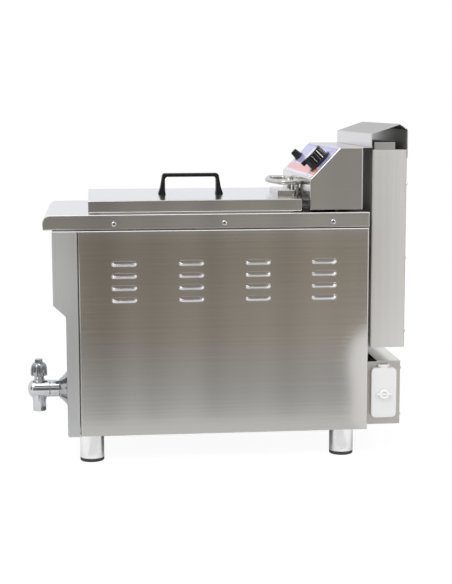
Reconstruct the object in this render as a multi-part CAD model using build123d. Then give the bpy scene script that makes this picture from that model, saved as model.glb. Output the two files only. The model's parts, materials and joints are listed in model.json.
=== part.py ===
from build123d import *
import os
from math import cos, radians, sin

# Gas deep fryer, in millimetres. X runs across, Y from the front to the rear, Z up from the floor.
# While it is drawn, Y = 0 is the front edge of the side panels. Each piece is moved when it is written,
# so that the origin lies on the floor under the middle of the whole fryer.
os.makedirs("parts", exist_ok=True)

# Sheet and clearances
panel_sheet = 1.0
worktop_sheet = 1.5
tank_sheet = 1.5
seam = 0.3  # round a plate that lies inside a folded edge
loose_gap = 0.3  # between pieces that part in use

# Oil tank and what surrounds it, from the inside out
tank_width = 283.0
tank_length = 316.0
tank_depth = 232.0
tank_corner = 30.0
side_flue_gap = 7.0
rear_flue_gap = 9.5
insulation = 9.0
side_air_gap = 10.0
front_space = 17.5
rear_space = 114.0

# Heights of the body
leg_height = 45.0
panel_height = 342.0
worktop_height = 25.0
skirt_gap = 1.3
rail_height = 22.8
rail_width = 30.0
rail_inset = 32.0
base_sheet = 1.2

# Legs
leg_diameter = 40.0
pad_height = 6.0
pad_sides = 14
leg_side_inset = 25.0
leg_front = 18.0
leg_rear_inset = 40.0

# Side panels and their louvres
panel_flange = 13.0
panel_edge_round = 1.8
louvre_columns = 4
louvre_rows = 4
louvre_length = 41.5
louvre_depth = 4.5
louvre_slot = 4.2
louvre_taper = 4.0
louvre_facets = 3
louvre_pitch_y = 110.0
louvre_pitch_z = 19.8
louvre_first_y = 74.6
louvre_top_below = 51.6  # from the panel's top edge to the top of the first slot

# Front fascia
fascia_upper = 41.5  # how far it stands forward of the side panels
fascia_lower = 21.0
fascia_step_top = 122.0  # below the panel's top edge
fascia_step_rise = 19.0
fascia_round = 3.0
fascia_flange = 12.0
fascia_seam = 0.9  # open joint to the side panels

# Worktop and the frame under it
worktop_overhang = 2.0
nose_reach = 15.5  # of the rounded front edge past the fascia
nose_radius = 13.0
nose_tuck = 1.8
frame_sheet = 1.5
frame_leg = 12.0

# Tank rim, lid and lid handle
rim_side = 18.5  # from the tank's inner face to the lid's outer edge
rim_front = 18.0
rim_rear = 16.5
rim_height = 3.0
rim_inset = 0.6
lid_sheet = 1.0
lid_height = 18.7
lid_seat = 8.0
lid_edge_round = 1.6
handle_length = 113.3
handle_top_length = 97.4
handle_height = 36.0
handle_bar = 6.0
handle_foot = 13.0
handle_flare = 3.7
handle_flare_height = 11.6
handle_leg = 4.0
handle_width = 19.0
handle_shift = 3.0  # behind the lid's middle
handle_bend = 5.0
handle_edge = 1.2
hood_half = 53.0
hood_height = 8.0
hood_front_inset = 25.3
hood_rear_reach = 4.3
hood_round = 1.5

# Basket and its rod handle
basket_side_gap = 9.0
basket_front_gap = 10.0
basket_rear_gap = 14.0
basket_top_gap = 16.0
net_sheet = 2.0
net_wire = 3.0
net_pitch = 56.0
rim_rod = 3.0
rod_radius = 4.0
rod_bend = 9.0
rod_x = 46.0
rod_sides = 8
bend_steps = 4
rod_drop = 120.0
rod_rise = 16.0  # of its level run above the worktop
rod_to_head = 5.1
ring_rise = 45.0
ring_half = 80.0
ring_reach = 46.0  # of its tip ahead of the upright rods
ring_shoulder = 36.0
ring_tip_half = 25.0
screen_height = 40.0
screen_gap = 4.0
screen_corner = 20.0
screen_flange_inset = 14.0
screen_slots = 7
screen_slot = 8.0

# Combustion chamber, burners and gas parts
burner_side = 89.0  # from the chamber's side to the burner's axis
burner_radius = 18.0
burner_rise = 37.0
burner_front_gap = 4.0
burner_lug = 12.0
burner_slot = 9.0
burner_slot_inset = 25.0
burner_gap = 0.2
chamber_vent = 40.0
flue_side = 31.0  # from the chamber's side to the tunnel's
flue_sill = 200.0
flue_height = 80.0
manifold_radius = 10.0
injector_radius = 5.0
injector_gap = 3.0
igniter_width = 62.0
igniter_depth = 38.0
igniter_height = 24.0
valve_width = 40.0
valve_height = 42.0
valve_depth = 40.0
valve_foot = 16.0
inlet_side = 29.5  # from the box's side to the inlet's axis
inlet_radius = 10.48
inlet_bore = 6.0
inlet_length = 15.0
inlet_hex = 13.5
inlet_hex_length = 8.0

# Flue duct, outlet collar and hood
duct_gap = 7.0
duct_side = 16.5  # from the body's side to the duct's and the low box's
duct_depth = 58.0
duct_bottom = 182.0
duct_above_worktop = 102.0
outlet_side = 4.5
outlet_front = 4.0
outlet_depth = 35.0
outlet_rise = 12.0
roof_side = 1.0
roof_front = 2.0  # ahead of the duct
roof_gap = 4.0
roof_skirt = 22.0
roof_ridge_rise = 16.0
roof_ridge_back = 13.5
roof_rear_drop = 9.0
roof_lap = 14.0
gasket_width = 10.0
duct_flange = 28.0

# Low rear box and the battery case
box_depth = 60.0
box_bottom = 50.0
box_top = 159.0
box_slot = 20.0  # left open between its top plate and the rear panel
box_fold = 8.0
box_flange = 12.0
case_front = 9.5
case_width = 43.0
case_bottom = 62.6
case_height = 85.4
case_corner = 8.0
case_flange = 3.0
case_border = 3.0
case_wall = 1.5
case_depth = 38.0
flap_thickness = 4.0
flap_rim = 3.0
knuckle_radius = 2.4
knuckle_length = 13.0
knuckle_rise = 3.1
ear_length = 2.7
pin_radius = 1.0
pin_gap = 0.08
latch_radius = 9.2
latch_sides = 12
latch_height = 5.0
latch_wing = 26.5
latch_wing_width = 3.2
latch_step = 1.0
latch_shaft = 2.5
latch_cam = 24.0
latch_below_middle = 2.0
cell_radius = 16.5
cell_sides = 20
cell_length = 61.0

# Control head, knobs and switches
head_side = 0.75  # in from the lid's side
head_gap = 13.9  # behind the lid
head_depth = 88.4
head_lift = 3.5
head_front_height = 50.5
head_height = 102.3
head_slope_run = 49.6
head_flange = 12.0
head_edge_round = 2.0
spacer_size = 14.0
spacer_inset = 90.0
film_sheet = 0.5
film_side = 9.25
film_border = 3.0
film_corner = 6.0
knob_side = 47.25  # from the head's side to the knob's axis
knob_lift = 0.8
dial_radius = 22.0
dial_skirt = 3.0
skirt_sides = 20
dial_body = 18.5
dial_height = 19.0
dial_shrink = 0.97
dial_ribs = 14
rib_depth = 1.4
pointer_width = 3.0
pointer_rise = 1.5
dial_nose = 24.5
nose_width = 8.0
nose_height = 8.0
small_base = 8.8
small_shrink = 0.68
small_sides = 12
small_height = 16.0
knob_cap = 4.0  # left over the end of a shaft
shaft_radius = 3.0
shaft_gap = 0.1
shaft_reach = 12.0
switch_size = 34.0
switch_depth = 28.0
bulb_radius = 4.0
bulb_length = 78.0
bulb_below_rim = 150.0
capillary_radius = 1.2
capillary_hole = 8.0
capillary_stub = 8.0
capillary_turn = 20.0
capillary_rise = 5.0  # above the side panels

# Drain pipe and tap
drain_rise = 47.3  # above the underside of the body
drain_inset = 22.0
drain_radius = 13.4
drain_bore = 10.5
drain_bore_depth = 30.0
pipe_gap = 0.1
pipe_sides = 16
tap_reach = 72.5  # from the fascia's lower face to the tap's front end
barrel_radius = 15.5
barrel_nose = 7.0
nose_shrink = 0.62
nose_sides = 16
rosette_radius = 32.0
rosette_depth = 17.0
rosette_edge = 1.5
rosette_sides = 24
spout_radius = 11.75
spout_bore = 8.5
spout_length = 39.0
spout_depth = 28.0
spout_back = 19.8  # its axis behind the tap's front end
collar_rise = 3.0  # how far the spout's collar reaches below the barrel
collar_radius = 12.6
bonnet_radius = 8.75
bonnet_top = 23.3
knob_radius = 14.8
knob_height = 24.0
knob_shrink = 0.64
nut_radius = 8.0
knob_nut = 5.5
knob_flutes = 8
flute_depth = 2.2
knob_skirt = 9.0
spindle_radius = 4.0

# Places worked out from the sizes above
tank_half = tank_width / 2
chamber_half = tank_half + tank_sheet + side_flue_gap + panel_sheet
body_half = chamber_half + insulation + side_air_gap + panel_sheet
burner_x = chamber_half - burner_side
flue_half = chamber_half - flue_side
duct_half = body_half - duct_side
outlet_half = duct_half - outlet_side
roof_half = duct_half + roof_side
box_half = duct_half
inlet_x = inlet_side - box_half
chamber_front = front_space + insulation
tank_front = chamber_front + panel_sheet + side_flue_gap + tank_sheet
tank_back = tank_front + tank_length
chamber_back = tank_back + tank_sheet + rear_flue_gap + panel_sheet
rear_panel_front = chamber_back + rear_space
rear_panel_back = rear_panel_front + panel_sheet
body_depth = rear_panel_back + panel_sheet
panel_bottom = leg_height
panel_top = panel_bottom + panel_height
worktop_top = panel_top + worktop_height
worktop_half = body_half + worktop_overhang
tank_floor = worktop_top - tank_depth
base_top = panel_bottom + panel_sheet + base_sheet
chamber_floor = base_top + rail_height
burner_z = chamber_floor + panel_sheet + burner_rise
lid_half = tank_half + rim_side
head_half = lid_half - head_side
film_half = head_half - film_side
knob_x = head_half - knob_side
lid_front = tank_front - rim_front
lid_back = tank_back + rim_rear
lid_bottom = worktop_top + rim_height + loose_gap
lid_top = lid_bottom + lid_height
hood_front = lid_back - hood_front_inset
hood_back = lid_back + hood_rear_reach
head_front = lid_back + head_gap
head_back = head_front + head_depth
head_bottom = worktop_top + head_lift
head_top = head_bottom + head_height
slope_rise = head_height - head_front_height
slope_length = (head_slope_run**2 + slope_rise**2) ** 0.5
duct_front = body_depth + duct_gap
duct_back = duct_front + duct_depth
duct_top = worktop_top + duct_above_worktop
box_back = rear_panel_back + box_depth
fascia_low_face = -fascia_lower
tap_front = fascia_low_face - tap_reach
drain_z = panel_bottom + drain_rise
drain_y = tank_front + drain_inset
inlet_end = box_back + inlet_hex_length + inlet_length
mid_y = (tap_front + inlet_end) / 2

# The sloped panel: X across, Y up the slope, Z out of it
slope = Plane(
    origin=(0, head_front + head_slope_run / 2, head_bottom + head_front_height + slope_rise / 2),
    x_dir=(1, 0, 0),
    z_dir=(0, -slope_rise, head_slope_run),
)


def block(x, y, z):
    size = [abs(span[1] - span[0]) for span in (x, y, z)]
    middle = [(span[0] + span[1]) / 2 for span in (x, y, z)]
    return Pos(*middle) * Box(*size)


def slab(x, y, z, corner):
    plan = RectangleRounded(x[1] - x[0], y[1] - y[0], corner)
    return extrude(Pos((x[0] + x[1]) / 2, (y[0] + y[1]) / 2, z[0]) * plan, z[1] - z[0])


def both(half):
    return (-half, half)


def both_about(middle, half):
    return (middle - half, middle + half)


def drawn_across(outline, half):
    return extrude(Plane.YZ * outline, half, both=True)


def outline_of(points):
    return make_face(Polyline(*points, close=True))


def upright(x, y, z, radius):
    return Pos(x, y, (z[0] + z[1]) / 2) * Cylinder(radius, abs(z[1] - z[0]))


def along_y(x, y, z, radius):
    return Pos(x, (y[0] + y[1]) / 2, z) * Rot(90, 0, 0) * Cylinder(radius, abs(y[1] - y[0]))


def along_x(x, y, z, radius):
    return Pos((x[0] + x[1]) / 2, y, z) * Rot(0, 90, 0) * Cylinder(radius, abs(x[1] - x[0]))


def bent_rod(points, radius, bend):
    stops = []
    for edge in FilletPolyline(*points, radius=bend).order_edges():
        steps = 1 if edge.geom_type == GeomType.LINE else bend_steps
        stops += [edge @ (index / steps) for index in range(steps)]
    section = RegularPolygon(radius, rod_sides, major_radius=False, rotation=180 / rod_sides)
    return mitred(section, stops + [points[-1]])


def mitred(section, points):
    path = Polyline(*points)
    return sweep(Plane(origin=path @ 0, z_dir=path % 0) * section, path=path, transition=Transition.RIGHT)


def ring_of(count, ridge, valley):
    points = []
    for index in range(2 * count):
        radius = valley if index % 2 else ridge
        angle = radians(index * 180 / count)
        points.append((radius * cos(angle), radius * sin(angle)))
    return points


# A ring of points at one height and the same ring, smaller, at another, joined by flat sides
def frustum(ring, low, high, shrink):
    lower = [(x, y, low) for x, y in ring]
    upper = [(x * shrink, y * shrink, high) for x, y in ring]
    faces = [Face(Wire.make_polygon(lower)), Face(Wire.make_polygon(upper))]
    for index in range(len(ring)):
        side = [lower[index - 1], lower[index], upper[index], upper[index - 1]]
        faces.append(Face(Wire.make_polygon(side)))
    return Solid(Shell(faces))


def corners(x, y):
    return [(x * side, place) for place in y for side in (1, -1)]


# Legs and base
leg_places = corners(body_half - leg_side_inset, (leg_front, body_depth - leg_rear_inset))


def legs():
    return [upright(x, y, (pad_height, panel_bottom), leg_diameter / 2) for x, y in leg_places]


def leg_pads():
    ring = ring_of(pad_sides, leg_diameter / 2, leg_diameter / 2)
    return [Pos(x, y, 0) * frustum(ring, 0, pad_height, 1) for x, y in leg_places]


def vent_slots(z):
    y = (chamber_front + rail_inset + rail_width, chamber_back - rail_inset - rail_width)
    return [block(both_about(side * burner_x, chamber_vent / 2), y, z) for side in (1, -1)]


def base_plate():
    plate = block(
        both(body_half - panel_sheet - seam),
        (panel_sheet + seam, rear_panel_front - seam),
        (panel_bottom + panel_sheet, base_top),
    )
    return plate - vent_slots((panel_bottom, base_top + 1))


# Outer panels
def louvre():
    inner = louvre_depth - panel_sheet
    back = -panel_sheet / 2

    def bulge(radius):
        half = louvre_length / 2 - louvre_depth + radius
        steps = [radians(90 * index / louvre_facets) for index in range(louvre_facets + 1)]
        curve = [(radius * cos(step), -radius * sin(step)) for step in steps]
        bar = extrude(Plane.XZ * outline_of([(back, 0), *curve, (back, -radius)]), half, both=True)
        ends = [(back, -half), (0, -half), (radius, louvre_taper - half)]
        plan = outline_of(ends + [(x, -y) for x, y in reversed(ends)])
        return bar & extrude(plan, 2 * radius, both=True)

    lip = bulge(louvre_depth) - bulge(inner)
    slot_half = louvre_length / 2 - 2 * panel_sheet
    return lip, block((-2 * panel_sheet, panel_sheet), both(slot_half), (-inner, louvre_slot))


def side_panel():
    half_open = body_half - panel_flange
    pan = block((half_open, body_half), (0, body_depth), (panel_bottom, panel_top))
    pan = fillet(pan.faces().sort_by(Axis.X)[-1].edges(), panel_edge_round)
    pan -= block(
        (half_open - 1, body_half - panel_sheet),
        (panel_sheet, body_depth - panel_sheet),
        (panel_bottom + panel_sheet, panel_top - panel_sheet),
    )
    lip, slot = louvre()
    places = [
        Pos(
            body_half,
            louvre_first_y + column * louvre_pitch_y,
            panel_top - louvre_top_below - louvre_slot - row * louvre_pitch_z,
        )
        for column in range(louvre_columns)
        for row in range(louvre_rows)
    ]
    pan -= [place * slot for place in places]
    pan += [place * lip for place in places]
    return pan


def front_fascia():
    step_top = panel_top - fascia_step_top
    points = [
        (-fascia_seam, panel_bottom),
        (fascia_low_face, panel_bottom),
        (fascia_low_face, step_top - fascia_step_rise),
        (-fascia_upper, step_top),
        (-fascia_upper, panel_top),
        (-fascia_seam, panel_top),
    ]
    outline = outline_of(points)
    shell = drawn_across(fillet(outline.vertices().sort_by(Axis.X)[:4], fascia_round), body_half)
    shell -= drawn_across(offset(outline, -panel_sheet, kind=Kind.INTERSECTION), body_half - panel_sheet)
    window_y = (-2 * panel_sheet, 1)
    window_z = (panel_bottom + fascia_flange, panel_top - fascia_flange)
    shell -= block(both(body_half - fascia_flange), window_y, window_z)
    hole_y = (fascia_low_face - 1, fascia_low_face + 2 * panel_sheet)
    return shell - along_y(0, hole_y, drain_z, drain_radius + loose_gap)


def rear_panel():
    plate_y = (rear_panel_front, rear_panel_back)
    plate = block(both(body_half - panel_sheet - seam), plate_y, (base_top, panel_top - panel_sheet))
    plate += block(
        both(body_half - panel_flange - seam),
        (rear_panel_front - panel_flange, rear_panel_back),
        (panel_top - panel_sheet, panel_top),
    )
    through = (rear_panel_front - 1, rear_panel_back + 1)
    inside = flue_half - panel_sheet
    plate -= block(both(inside), through, (flue_sill + panel_sheet, flue_sill + flue_height - panel_sheet))
    plate -= [along_y(side * burner_x, through, burner_z, burner_radius + burner_gap) for side in (1, -1)]
    return plate


# Worktop and frame
def worktop():
    nose = -fascia_upper - nose_reach
    back = body_depth - seam
    skirt = panel_top + skirt_gap
    points = [(back, skirt), (back, worktop_top), (nose, worktop_top), (nose + nose_tuck, skirt)]
    outline = outline_of(points)
    corner = outline.vertices().sort_by(Axis.X)[0]
    rounded = fillet(corner, nose_radius)
    shell = drawn_across(rounded, worktop_half)
    inner = offset(rounded, -worktop_sheet, kind=Kind.INTERSECTION)
    shell -= drawn_across(inner, worktop_half - worktop_sheet)
    mouth_y = (nose + nose_tuck + worktop_sheet, back - worktop_sheet)
    shell -= block(both(worktop_half - worktop_sheet), mouth_y, (skirt - 1, skirt + 2 * worktop_sheet))
    opening = tank_half + tank_sheet + loose_gap
    opening_y = (tank_front - tank_sheet - loose_gap, tank_back + tank_sheet + loose_gap)
    corner_radius = tank_corner + tank_sheet + loose_gap
    through = (worktop_top - 2 * worktop_sheet, worktop_top + 1)
    shell -= slab(both(opening), opening_y, through, corner_radius)
    hole = capillary_hole / 2
    return shell - block(both_about(knob_x, hole), both_about(capillary_y, hole), through)


def top_frame():
    outer = worktop_half - worktop_sheet
    front = -fascia_upper + panel_sheet
    back = body_depth - seam - worktop_sheet
    leg_z = (panel_top, worktop_top - worktop_sheet)
    ring = block(both(outer), (front, back), leg_z)
    ring -= block(
        both(outer - frame_sheet),
        (front + frame_sheet, back - frame_sheet),
        (panel_top + frame_sheet, worktop_top),
    )
    window_y = (front + frame_leg, back - frame_leg)
    return ring - block(both(outer - frame_leg), window_y, (panel_top - 1, worktop_top))


# Tank, screen and drain
def oil_tank():
    inner_y = (tank_front, tank_back)
    outer_y = (tank_front - tank_sheet, tank_back + tank_sheet)
    wall_top = worktop_top + rim_height
    outer_z = (tank_floor - tank_sheet, wall_top)
    tank = slab(both(tank_half + tank_sheet), outer_y, outer_z, tank_corner + tank_sheet)
    rim_y = (lid_front + rim_inset, lid_back - rim_inset)
    tank += slab(both(lid_half - rim_inset), rim_y, (worktop_top, wall_top), tank_corner)
    tank -= slab(both(tank_half), inner_y, (tank_floor, wall_top + 1), tank_corner)
    tank -= upright(0, drain_y, (tank_floor - 2 * tank_sheet, tank_floor + 1), drain_bore)
    gland = capillary_radius + pipe_gap
    gland_y = (tank_back - 1, tank_back + 2 * tank_sheet)
    return tank - block(both_about(knob_x, gland), gland_y, both_about(capillary_z, gland))


def crumb_screen():
    half = tank_half - screen_gap
    screen_y = (tank_front + screen_gap, tank_back - screen_gap)
    top = tank_floor + screen_height
    plate = block(both(half), screen_y, (top - tank_sheet, top))
    plate = chamfer(plate.edges().filter_by(Axis.Z), screen_corner)
    flange_y = (tank_front + tank_corner, tank_back - tank_corner)
    for side in (1, -1):
        edge = side * (tank_half - screen_flange_inset)
        inner = edge - side * tank_sheet
        plate += block((edge, inner), flange_y, (tank_floor, top - tank_sheet))
    pitch = (flange_y[1] - flange_y[0]) / screen_slots
    reach = tank_half - screen_flange_inset - tank_corner / 2
    for index in range(screen_slots):
        y = flange_y[0] + (index + 0.5) * pitch
        plate -= block(both(reach), both_about(y, screen_slot / 2), (top - 2 * tank_sheet, top + 1))
    return plate


def drain_pipe():
    points = [(0, drain_y, tank_floor - tank_sheet), (0, drain_y, drain_z), (0, drain_end, drain_z)]
    bore_z = (tank_floor - tank_sheet - drain_bore_depth, tank_floor)
    tube = mitred(RegularPolygon(drain_radius, pipe_sides), points)
    return tube - upright(0, drain_y, bore_z, drain_bore)


# Combustion chamber and flue tunnel
def combustion_chamber():
    box_y = (chamber_front, chamber_back)
    top = panel_top - frame_sheet
    box = block(both(chamber_half), box_y, (chamber_floor, top))
    inner_y = (chamber_front + panel_sheet, chamber_back - panel_sheet)
    box -= block(both(chamber_half - panel_sheet), inner_y, (chamber_floor + panel_sheet, top + 1))
    front = (chamber_front - 1, chamber_front + 2 * panel_sheet)
    back = (chamber_back - 2 * panel_sheet, chamber_back + 1)
    notch = drain_radius + loose_gap
    box -= block(both(notch), front, both_about(drain_z, notch))
    box -= [along_y(side * burner_x, back, burner_z, burner_radius + burner_gap) for side in (1, -1)]
    box -= vent_slots((chamber_floor - 1, chamber_floor + 2 * panel_sheet))
    inside = flue_half - panel_sheet
    return box - block(both(inside), back, (flue_sill + panel_sheet, flue_sill + flue_height - panel_sheet))


def chamber_rails():
    made = []
    for y in (chamber_front + rail_inset, chamber_back - rail_inset - rail_width):
        rail = block(both(chamber_half), (y, y + rail_width), (base_top, chamber_floor))
        rail -= block(
            both(chamber_half + 1),
            (y + panel_sheet, y + rail_width - panel_sheet),
            (base_top - 1, chamber_floor - panel_sheet),
        )
        made.append(rail)
    return made


def insulation_wrap():
    z = (chamber_floor, panel_top - frame_sheet)
    wrap = block(both(chamber_half + insulation), (chamber_front - insulation, chamber_back), z)
    wrap -= block(both(chamber_half), (chamber_front, chamber_back + 1), (z[0] - 1, z[1] + 1))
    notch = drain_radius + loose_gap
    notch_y = (chamber_front - insulation - 1, chamber_front + 1)
    return wrap - block(both(notch), notch_y, (z[0] - 1, drain_z + notch))


def flue_tunnel():
    y = (chamber_back, rear_panel_front)
    tube = block(both(flue_half), y, (flue_sill, flue_sill + flue_height))
    inner_z = (flue_sill + panel_sheet, flue_sill + flue_height - panel_sheet)
    return tube - block(both(flue_half - panel_sheet), (y[0] - 1, y[1] + 1), inner_z)


# Burners and gas parts
burner_mouth = rear_panel_back + injector_gap
manifold_y = burner_mouth + injector_gap + 2 * manifold_radius
valve_y = (manifold_y - valve_depth / 2, manifold_y + valve_depth / 2)
valve_x = (inlet_x - valve_width / 2, inlet_x + valve_width / 2)


def burner_tubes():
    front = chamber_front + panel_sheet + burner_front_gap
    slot_y = (front + burner_slot_inset, chamber_back - burner_slot_inset)
    made = []
    for side in (1, -1):
        x = side * burner_x
        tube = along_y(x, (front, burner_mouth), burner_z, burner_radius)
        tube -= block(both_about(x, burner_slot / 2), slot_y, (burner_z, burner_z + 2 * burner_radius))
        lug_y = (chamber_front + panel_sheet, front)
        tube += block(both_about(x, burner_lug / 2), lug_y, both_about(burner_z, burner_lug / 2))
        made.append(tube)
    return made


def gas_manifold():
    pipe = along_x((valve_x[1], burner_x + 2 * injector_radius), manifold_y, burner_z, manifold_radius)
    jet_length = manifold_y - burner_mouth - injector_gap
    for side in (1, -1):
        jet = Pos(side * burner_x, manifold_y, burner_z) * Rot(90, 0, 0) * RegularPolygon(injector_radius, 6)
        pipe += extrude(jet, jet_length)
    return pipe


def gas_valve():
    body = block(valve_x, valve_y, both_about(burner_z, valve_height / 2))
    body = chamfer(body.edges().filter_by(Axis.X), panel_edge_round)
    coil_x = both_about(inlet_x, valve_width / 3)
    coil_z = (burner_z + valve_height / 2, burner_z + valve_height)
    body += block(coil_x, both_about(manifold_y, valve_depth / 3), coil_z)
    foot_z = (box_bottom + panel_sheet, burner_z - valve_height / 2)
    return body + block(both_about(inlet_x, valve_foot / 2), both_about(manifold_y, valve_foot / 2), foot_z)


def gas_inlet():
    hexagon = Pos(inlet_x, valve_y[1], burner_z) * Rot(-90, 0, 0) * RegularPolygon(inlet_hex, 6)
    shoulder = inlet_end - inlet_length
    stub = extrude(hexagon, shoulder - valve_y[1])
    stub += along_y(inlet_x, (shoulder, inlet_end), burner_z, inlet_radius)
    bore = Pos(inlet_x, inlet_end, burner_z) * Rot(90, 0, 0) * RegularPolygon(inlet_bore, pipe_sides)
    return stub - extrude(bore, inlet_length)


def pulse_igniter():
    floor = box_bottom + panel_sheet
    y = both_about(manifold_y, igniter_depth / 2)
    case = block(both(igniter_width / 2), y, (floor, floor + igniter_height))
    return chamfer(case.edges().filter_by(Axis.Z), panel_edge_round)


# Flue
def flue_gasket():
    y = (rear_panel_back, duct_front)
    z = (flue_sill - gasket_width, flue_sill + flue_height + gasket_width)
    ring = block(both(flue_half + gasket_width), y, z)
    inner_z = (flue_sill + panel_sheet, flue_sill + flue_height - panel_sheet)
    return ring - block(both(flue_half - panel_sheet), (y[0] - 1, y[1] + 1), inner_z)


def flue_duct():
    y = (duct_front, duct_back - panel_sheet)
    duct = block(both(duct_half), y, (duct_bottom, duct_top - panel_sheet))
    duct = fillet(duct.edges().filter_by(Axis.Z).group_by(Axis.Y)[0], panel_edge_round)
    inner_y = (duct_front + panel_sheet, duct_back)
    duct -= block(both(duct_half - panel_sheet), inner_y, (duct_bottom + panel_sheet, duct_top))
    flange_z = (duct_bottom, duct_top - panel_sheet)
    flange_y = (duct_back - 2 * panel_sheet, duct_back - panel_sheet)
    for side in (1, -1):
        outer = side * (duct_half - panel_sheet)
        duct += block((outer, side * (duct_half - duct_flange)), flange_y, flange_z)
    port_z = (flue_sill + panel_sheet, flue_sill + flue_height - panel_sheet)
    port_y = (duct_front - 1, duct_front + 2 * panel_sheet)
    return duct - block(both(flue_half - panel_sheet), port_y, port_z)


def flue_rear_cover():
    z = (duct_bottom, duct_top - panel_sheet)
    return block(both(duct_half), (duct_back - panel_sheet, duct_back), z)


def flue_outlet():
    plate = block(both(duct_half), (duct_front, duct_back), (duct_top - panel_sheet, duct_top))
    collar_y = (duct_front + outlet_front, duct_front + outlet_front + outlet_depth)
    collar = block(both(outlet_half), collar_y, (duct_top - panel_sheet, duct_top + outlet_rise))
    inner_y = (collar_y[0] + panel_sheet, collar_y[1] - panel_sheet)
    inner_z = (duct_top - 2 * panel_sheet, duct_top + outlet_rise + 1)
    return plate + collar - block(both(outlet_half - panel_sheet), inner_y, inner_z)


def flue_hood():
    front = duct_front - roof_front
    back = duct_back + panel_sheet
    skirt = duct_top + roof_gap
    eave = skirt + roof_skirt
    ridge = eave + roof_ridge_rise
    outer = [
        (front, skirt),
        (front, eave),
        (back - roof_ridge_back, ridge),
        (back, ridge - roof_rear_drop),
        (back, duct_top - roof_lap),
    ]
    path = Polyline(*outer)
    sheet = offset(path, -panel_sheet, side=Side.RIGHT)
    return drawn_across(make_face(sheet), roof_half)


# Low rear box and battery case
case_y = (rear_panel_back + case_front, rear_panel_back + case_front + case_width)
case_z = (case_bottom, case_bottom + case_height)
case_mid_y = (case_y[0] + case_y[1]) / 2
case_face = box_half + case_flange
flap_face = case_face + loose_gap
hinge_x = flap_face + flap_thickness / 2
hinge_z = case_z[1] + knuckle_rise
latch_z = (case_z[0] + case_z[1]) / 2 - latch_below_middle


def burner_box():
    y = (rear_panel_back, box_back)
    box = block(both(box_half), y, (box_bottom, box_top - panel_sheet))
    box -= block(
        both(box_half - panel_sheet),
        (rear_panel_back + panel_sheet, box_back - panel_sheet),
        (box_bottom + panel_sheet, box_top),
    )
    window_y = (rear_panel_back - 1, rear_panel_back + 2 * panel_sheet)
    box -= block(both(box_half - box_flange), window_y, (box_bottom + box_flange, box_top))
    pocket_y = (case_y[0] + case_border - loose_gap, case_y[1] - case_border + loose_gap)
    pocket_z = (case_z[0] + case_border - loose_gap, case_z[1] - case_border + loose_gap)
    box -= block((box_half - 2 * panel_sheet, box_half + 1), pocket_y, pocket_z)
    back = (box_back - 2 * panel_sheet, box_back + 1)
    return box - along_y(inlet_x, back, burner_z, inlet_hex + loose_gap)


def burner_box_top():
    edge = rear_panel_back + box_slot
    plate = block(both(box_half), (edge, box_back), (box_top - panel_sheet, box_top))
    fold = block(both(box_half - 2 * panel_sheet), (edge, edge + panel_sheet), (box_top - box_fold, box_top))
    return plate + fold


def plate_on_side(x, border, corner):
    wide = case_width - 2 * border
    tall = case_height - 2 * border
    face = Plane(origin=(x[0], case_mid_y, (case_z[0] + case_z[1]) / 2), x_dir=(0, 1, 0), z_dir=(1, 0, 0))
    plan = RectangleRounded(wide, tall, corner) if corner else Rectangle(wide, tall)
    return extrude(face * plan, x[1] - x[0])


def battery_case():
    flange = plate_on_side((box_half, case_face), 0, case_corner)
    pocket = plate_on_side((box_half - case_depth, box_half), case_border, 0)
    case = flange + pocket
    case -= plate_on_side((box_half - case_depth + case_wall, case_face + 1), case_border + case_wall, 0)
    ear_start = knuckle_length / 2 + loose_gap
    for side in (1, -1):
        ends = (case_mid_y + side * ear_start, case_mid_y + side * (ear_start + ear_length))
        ear = block((box_half, hinge_x + knuckle_radius), ends, both_about(hinge_z, knuckle_radius))
        case += chamfer(ear.faces().sort_by(Axis.X)[-1].edges().filter_by(Axis.Y), knuckle_radius / 2)
        case += block((box_half, case_face), ends, (case_z[1] - case_wall, hinge_z + knuckle_radius))
    return case - along_y(hinge_x, both_about(case_mid_y, case_width / 2), hinge_z, pin_radius)


def battery_hinge_pin():
    half = knuckle_length / 2 + loose_gap + ear_length
    return along_y(hinge_x, both_about(case_mid_y, half), hinge_z, pin_radius)


def battery_cover():
    front = flap_face + flap_thickness
    flap = plate_on_side((flap_face, front), 0, case_corner)
    span = both_about(case_mid_y, knuckle_length / 2)
    flap += along_y(hinge_x, span, hinge_z, knuckle_radius)
    flap += block((hinge_x, front), span, (case_z[1] - flap_rim, hinge_z))
    flap -= along_y(hinge_x, both_about(case_mid_y, case_width), hinge_z, pin_radius + pin_gap)
    return flap - along_x((case_face, front + 1), case_mid_y, latch_z, latch_shaft + shaft_gap)


def battery_latch():
    seat = flap_face + flap_thickness + loose_gap
    top = seat + latch_height
    ring = ring_of(latch_sides, latch_radius, latch_radius)
    knob = Pos(0, case_mid_y, latch_z) * Rot(0, 90, 0) * frustum(ring, seat, top, 1)
    wing_z = both_about(latch_z, latch_wing_width / 2)
    knob += block((seat, top - latch_step), both_about(case_mid_y, latch_wing / 2), wing_z)
    cam_x = (case_face - case_flange, case_face - loose_gap)
    knob += along_x((cam_x[0], seat), case_mid_y, latch_z, latch_shaft)
    return knob + block(cam_x, both_about(case_mid_y, latch_wing_width), both_about(latch_z, latch_cam / 2))


def battery_cell():
    x = box_half - case_depth + case_wall + loose_gap + cell_radius
    bottom = case_z[0] + case_border + case_wall
    return extrude(Pos(x, case_mid_y, bottom) * RegularPolygon(cell_radius, cell_sides), cell_length)


# Control head
capillary_end = slope * Pos(knob_x, 0, -panel_sheet - switch_depth - capillary_stub)
capillary_y = capillary_end.position.Y
capillary_z = panel_top + capillary_rise


def head_outline():
    return outline_of(
        [
            (head_front, head_bottom),
            (head_front, head_bottom + head_front_height),
            (head_front + head_slope_run, head_top),
            (head_back, head_top),
            (head_back, head_bottom),
        ]
    )


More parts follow.
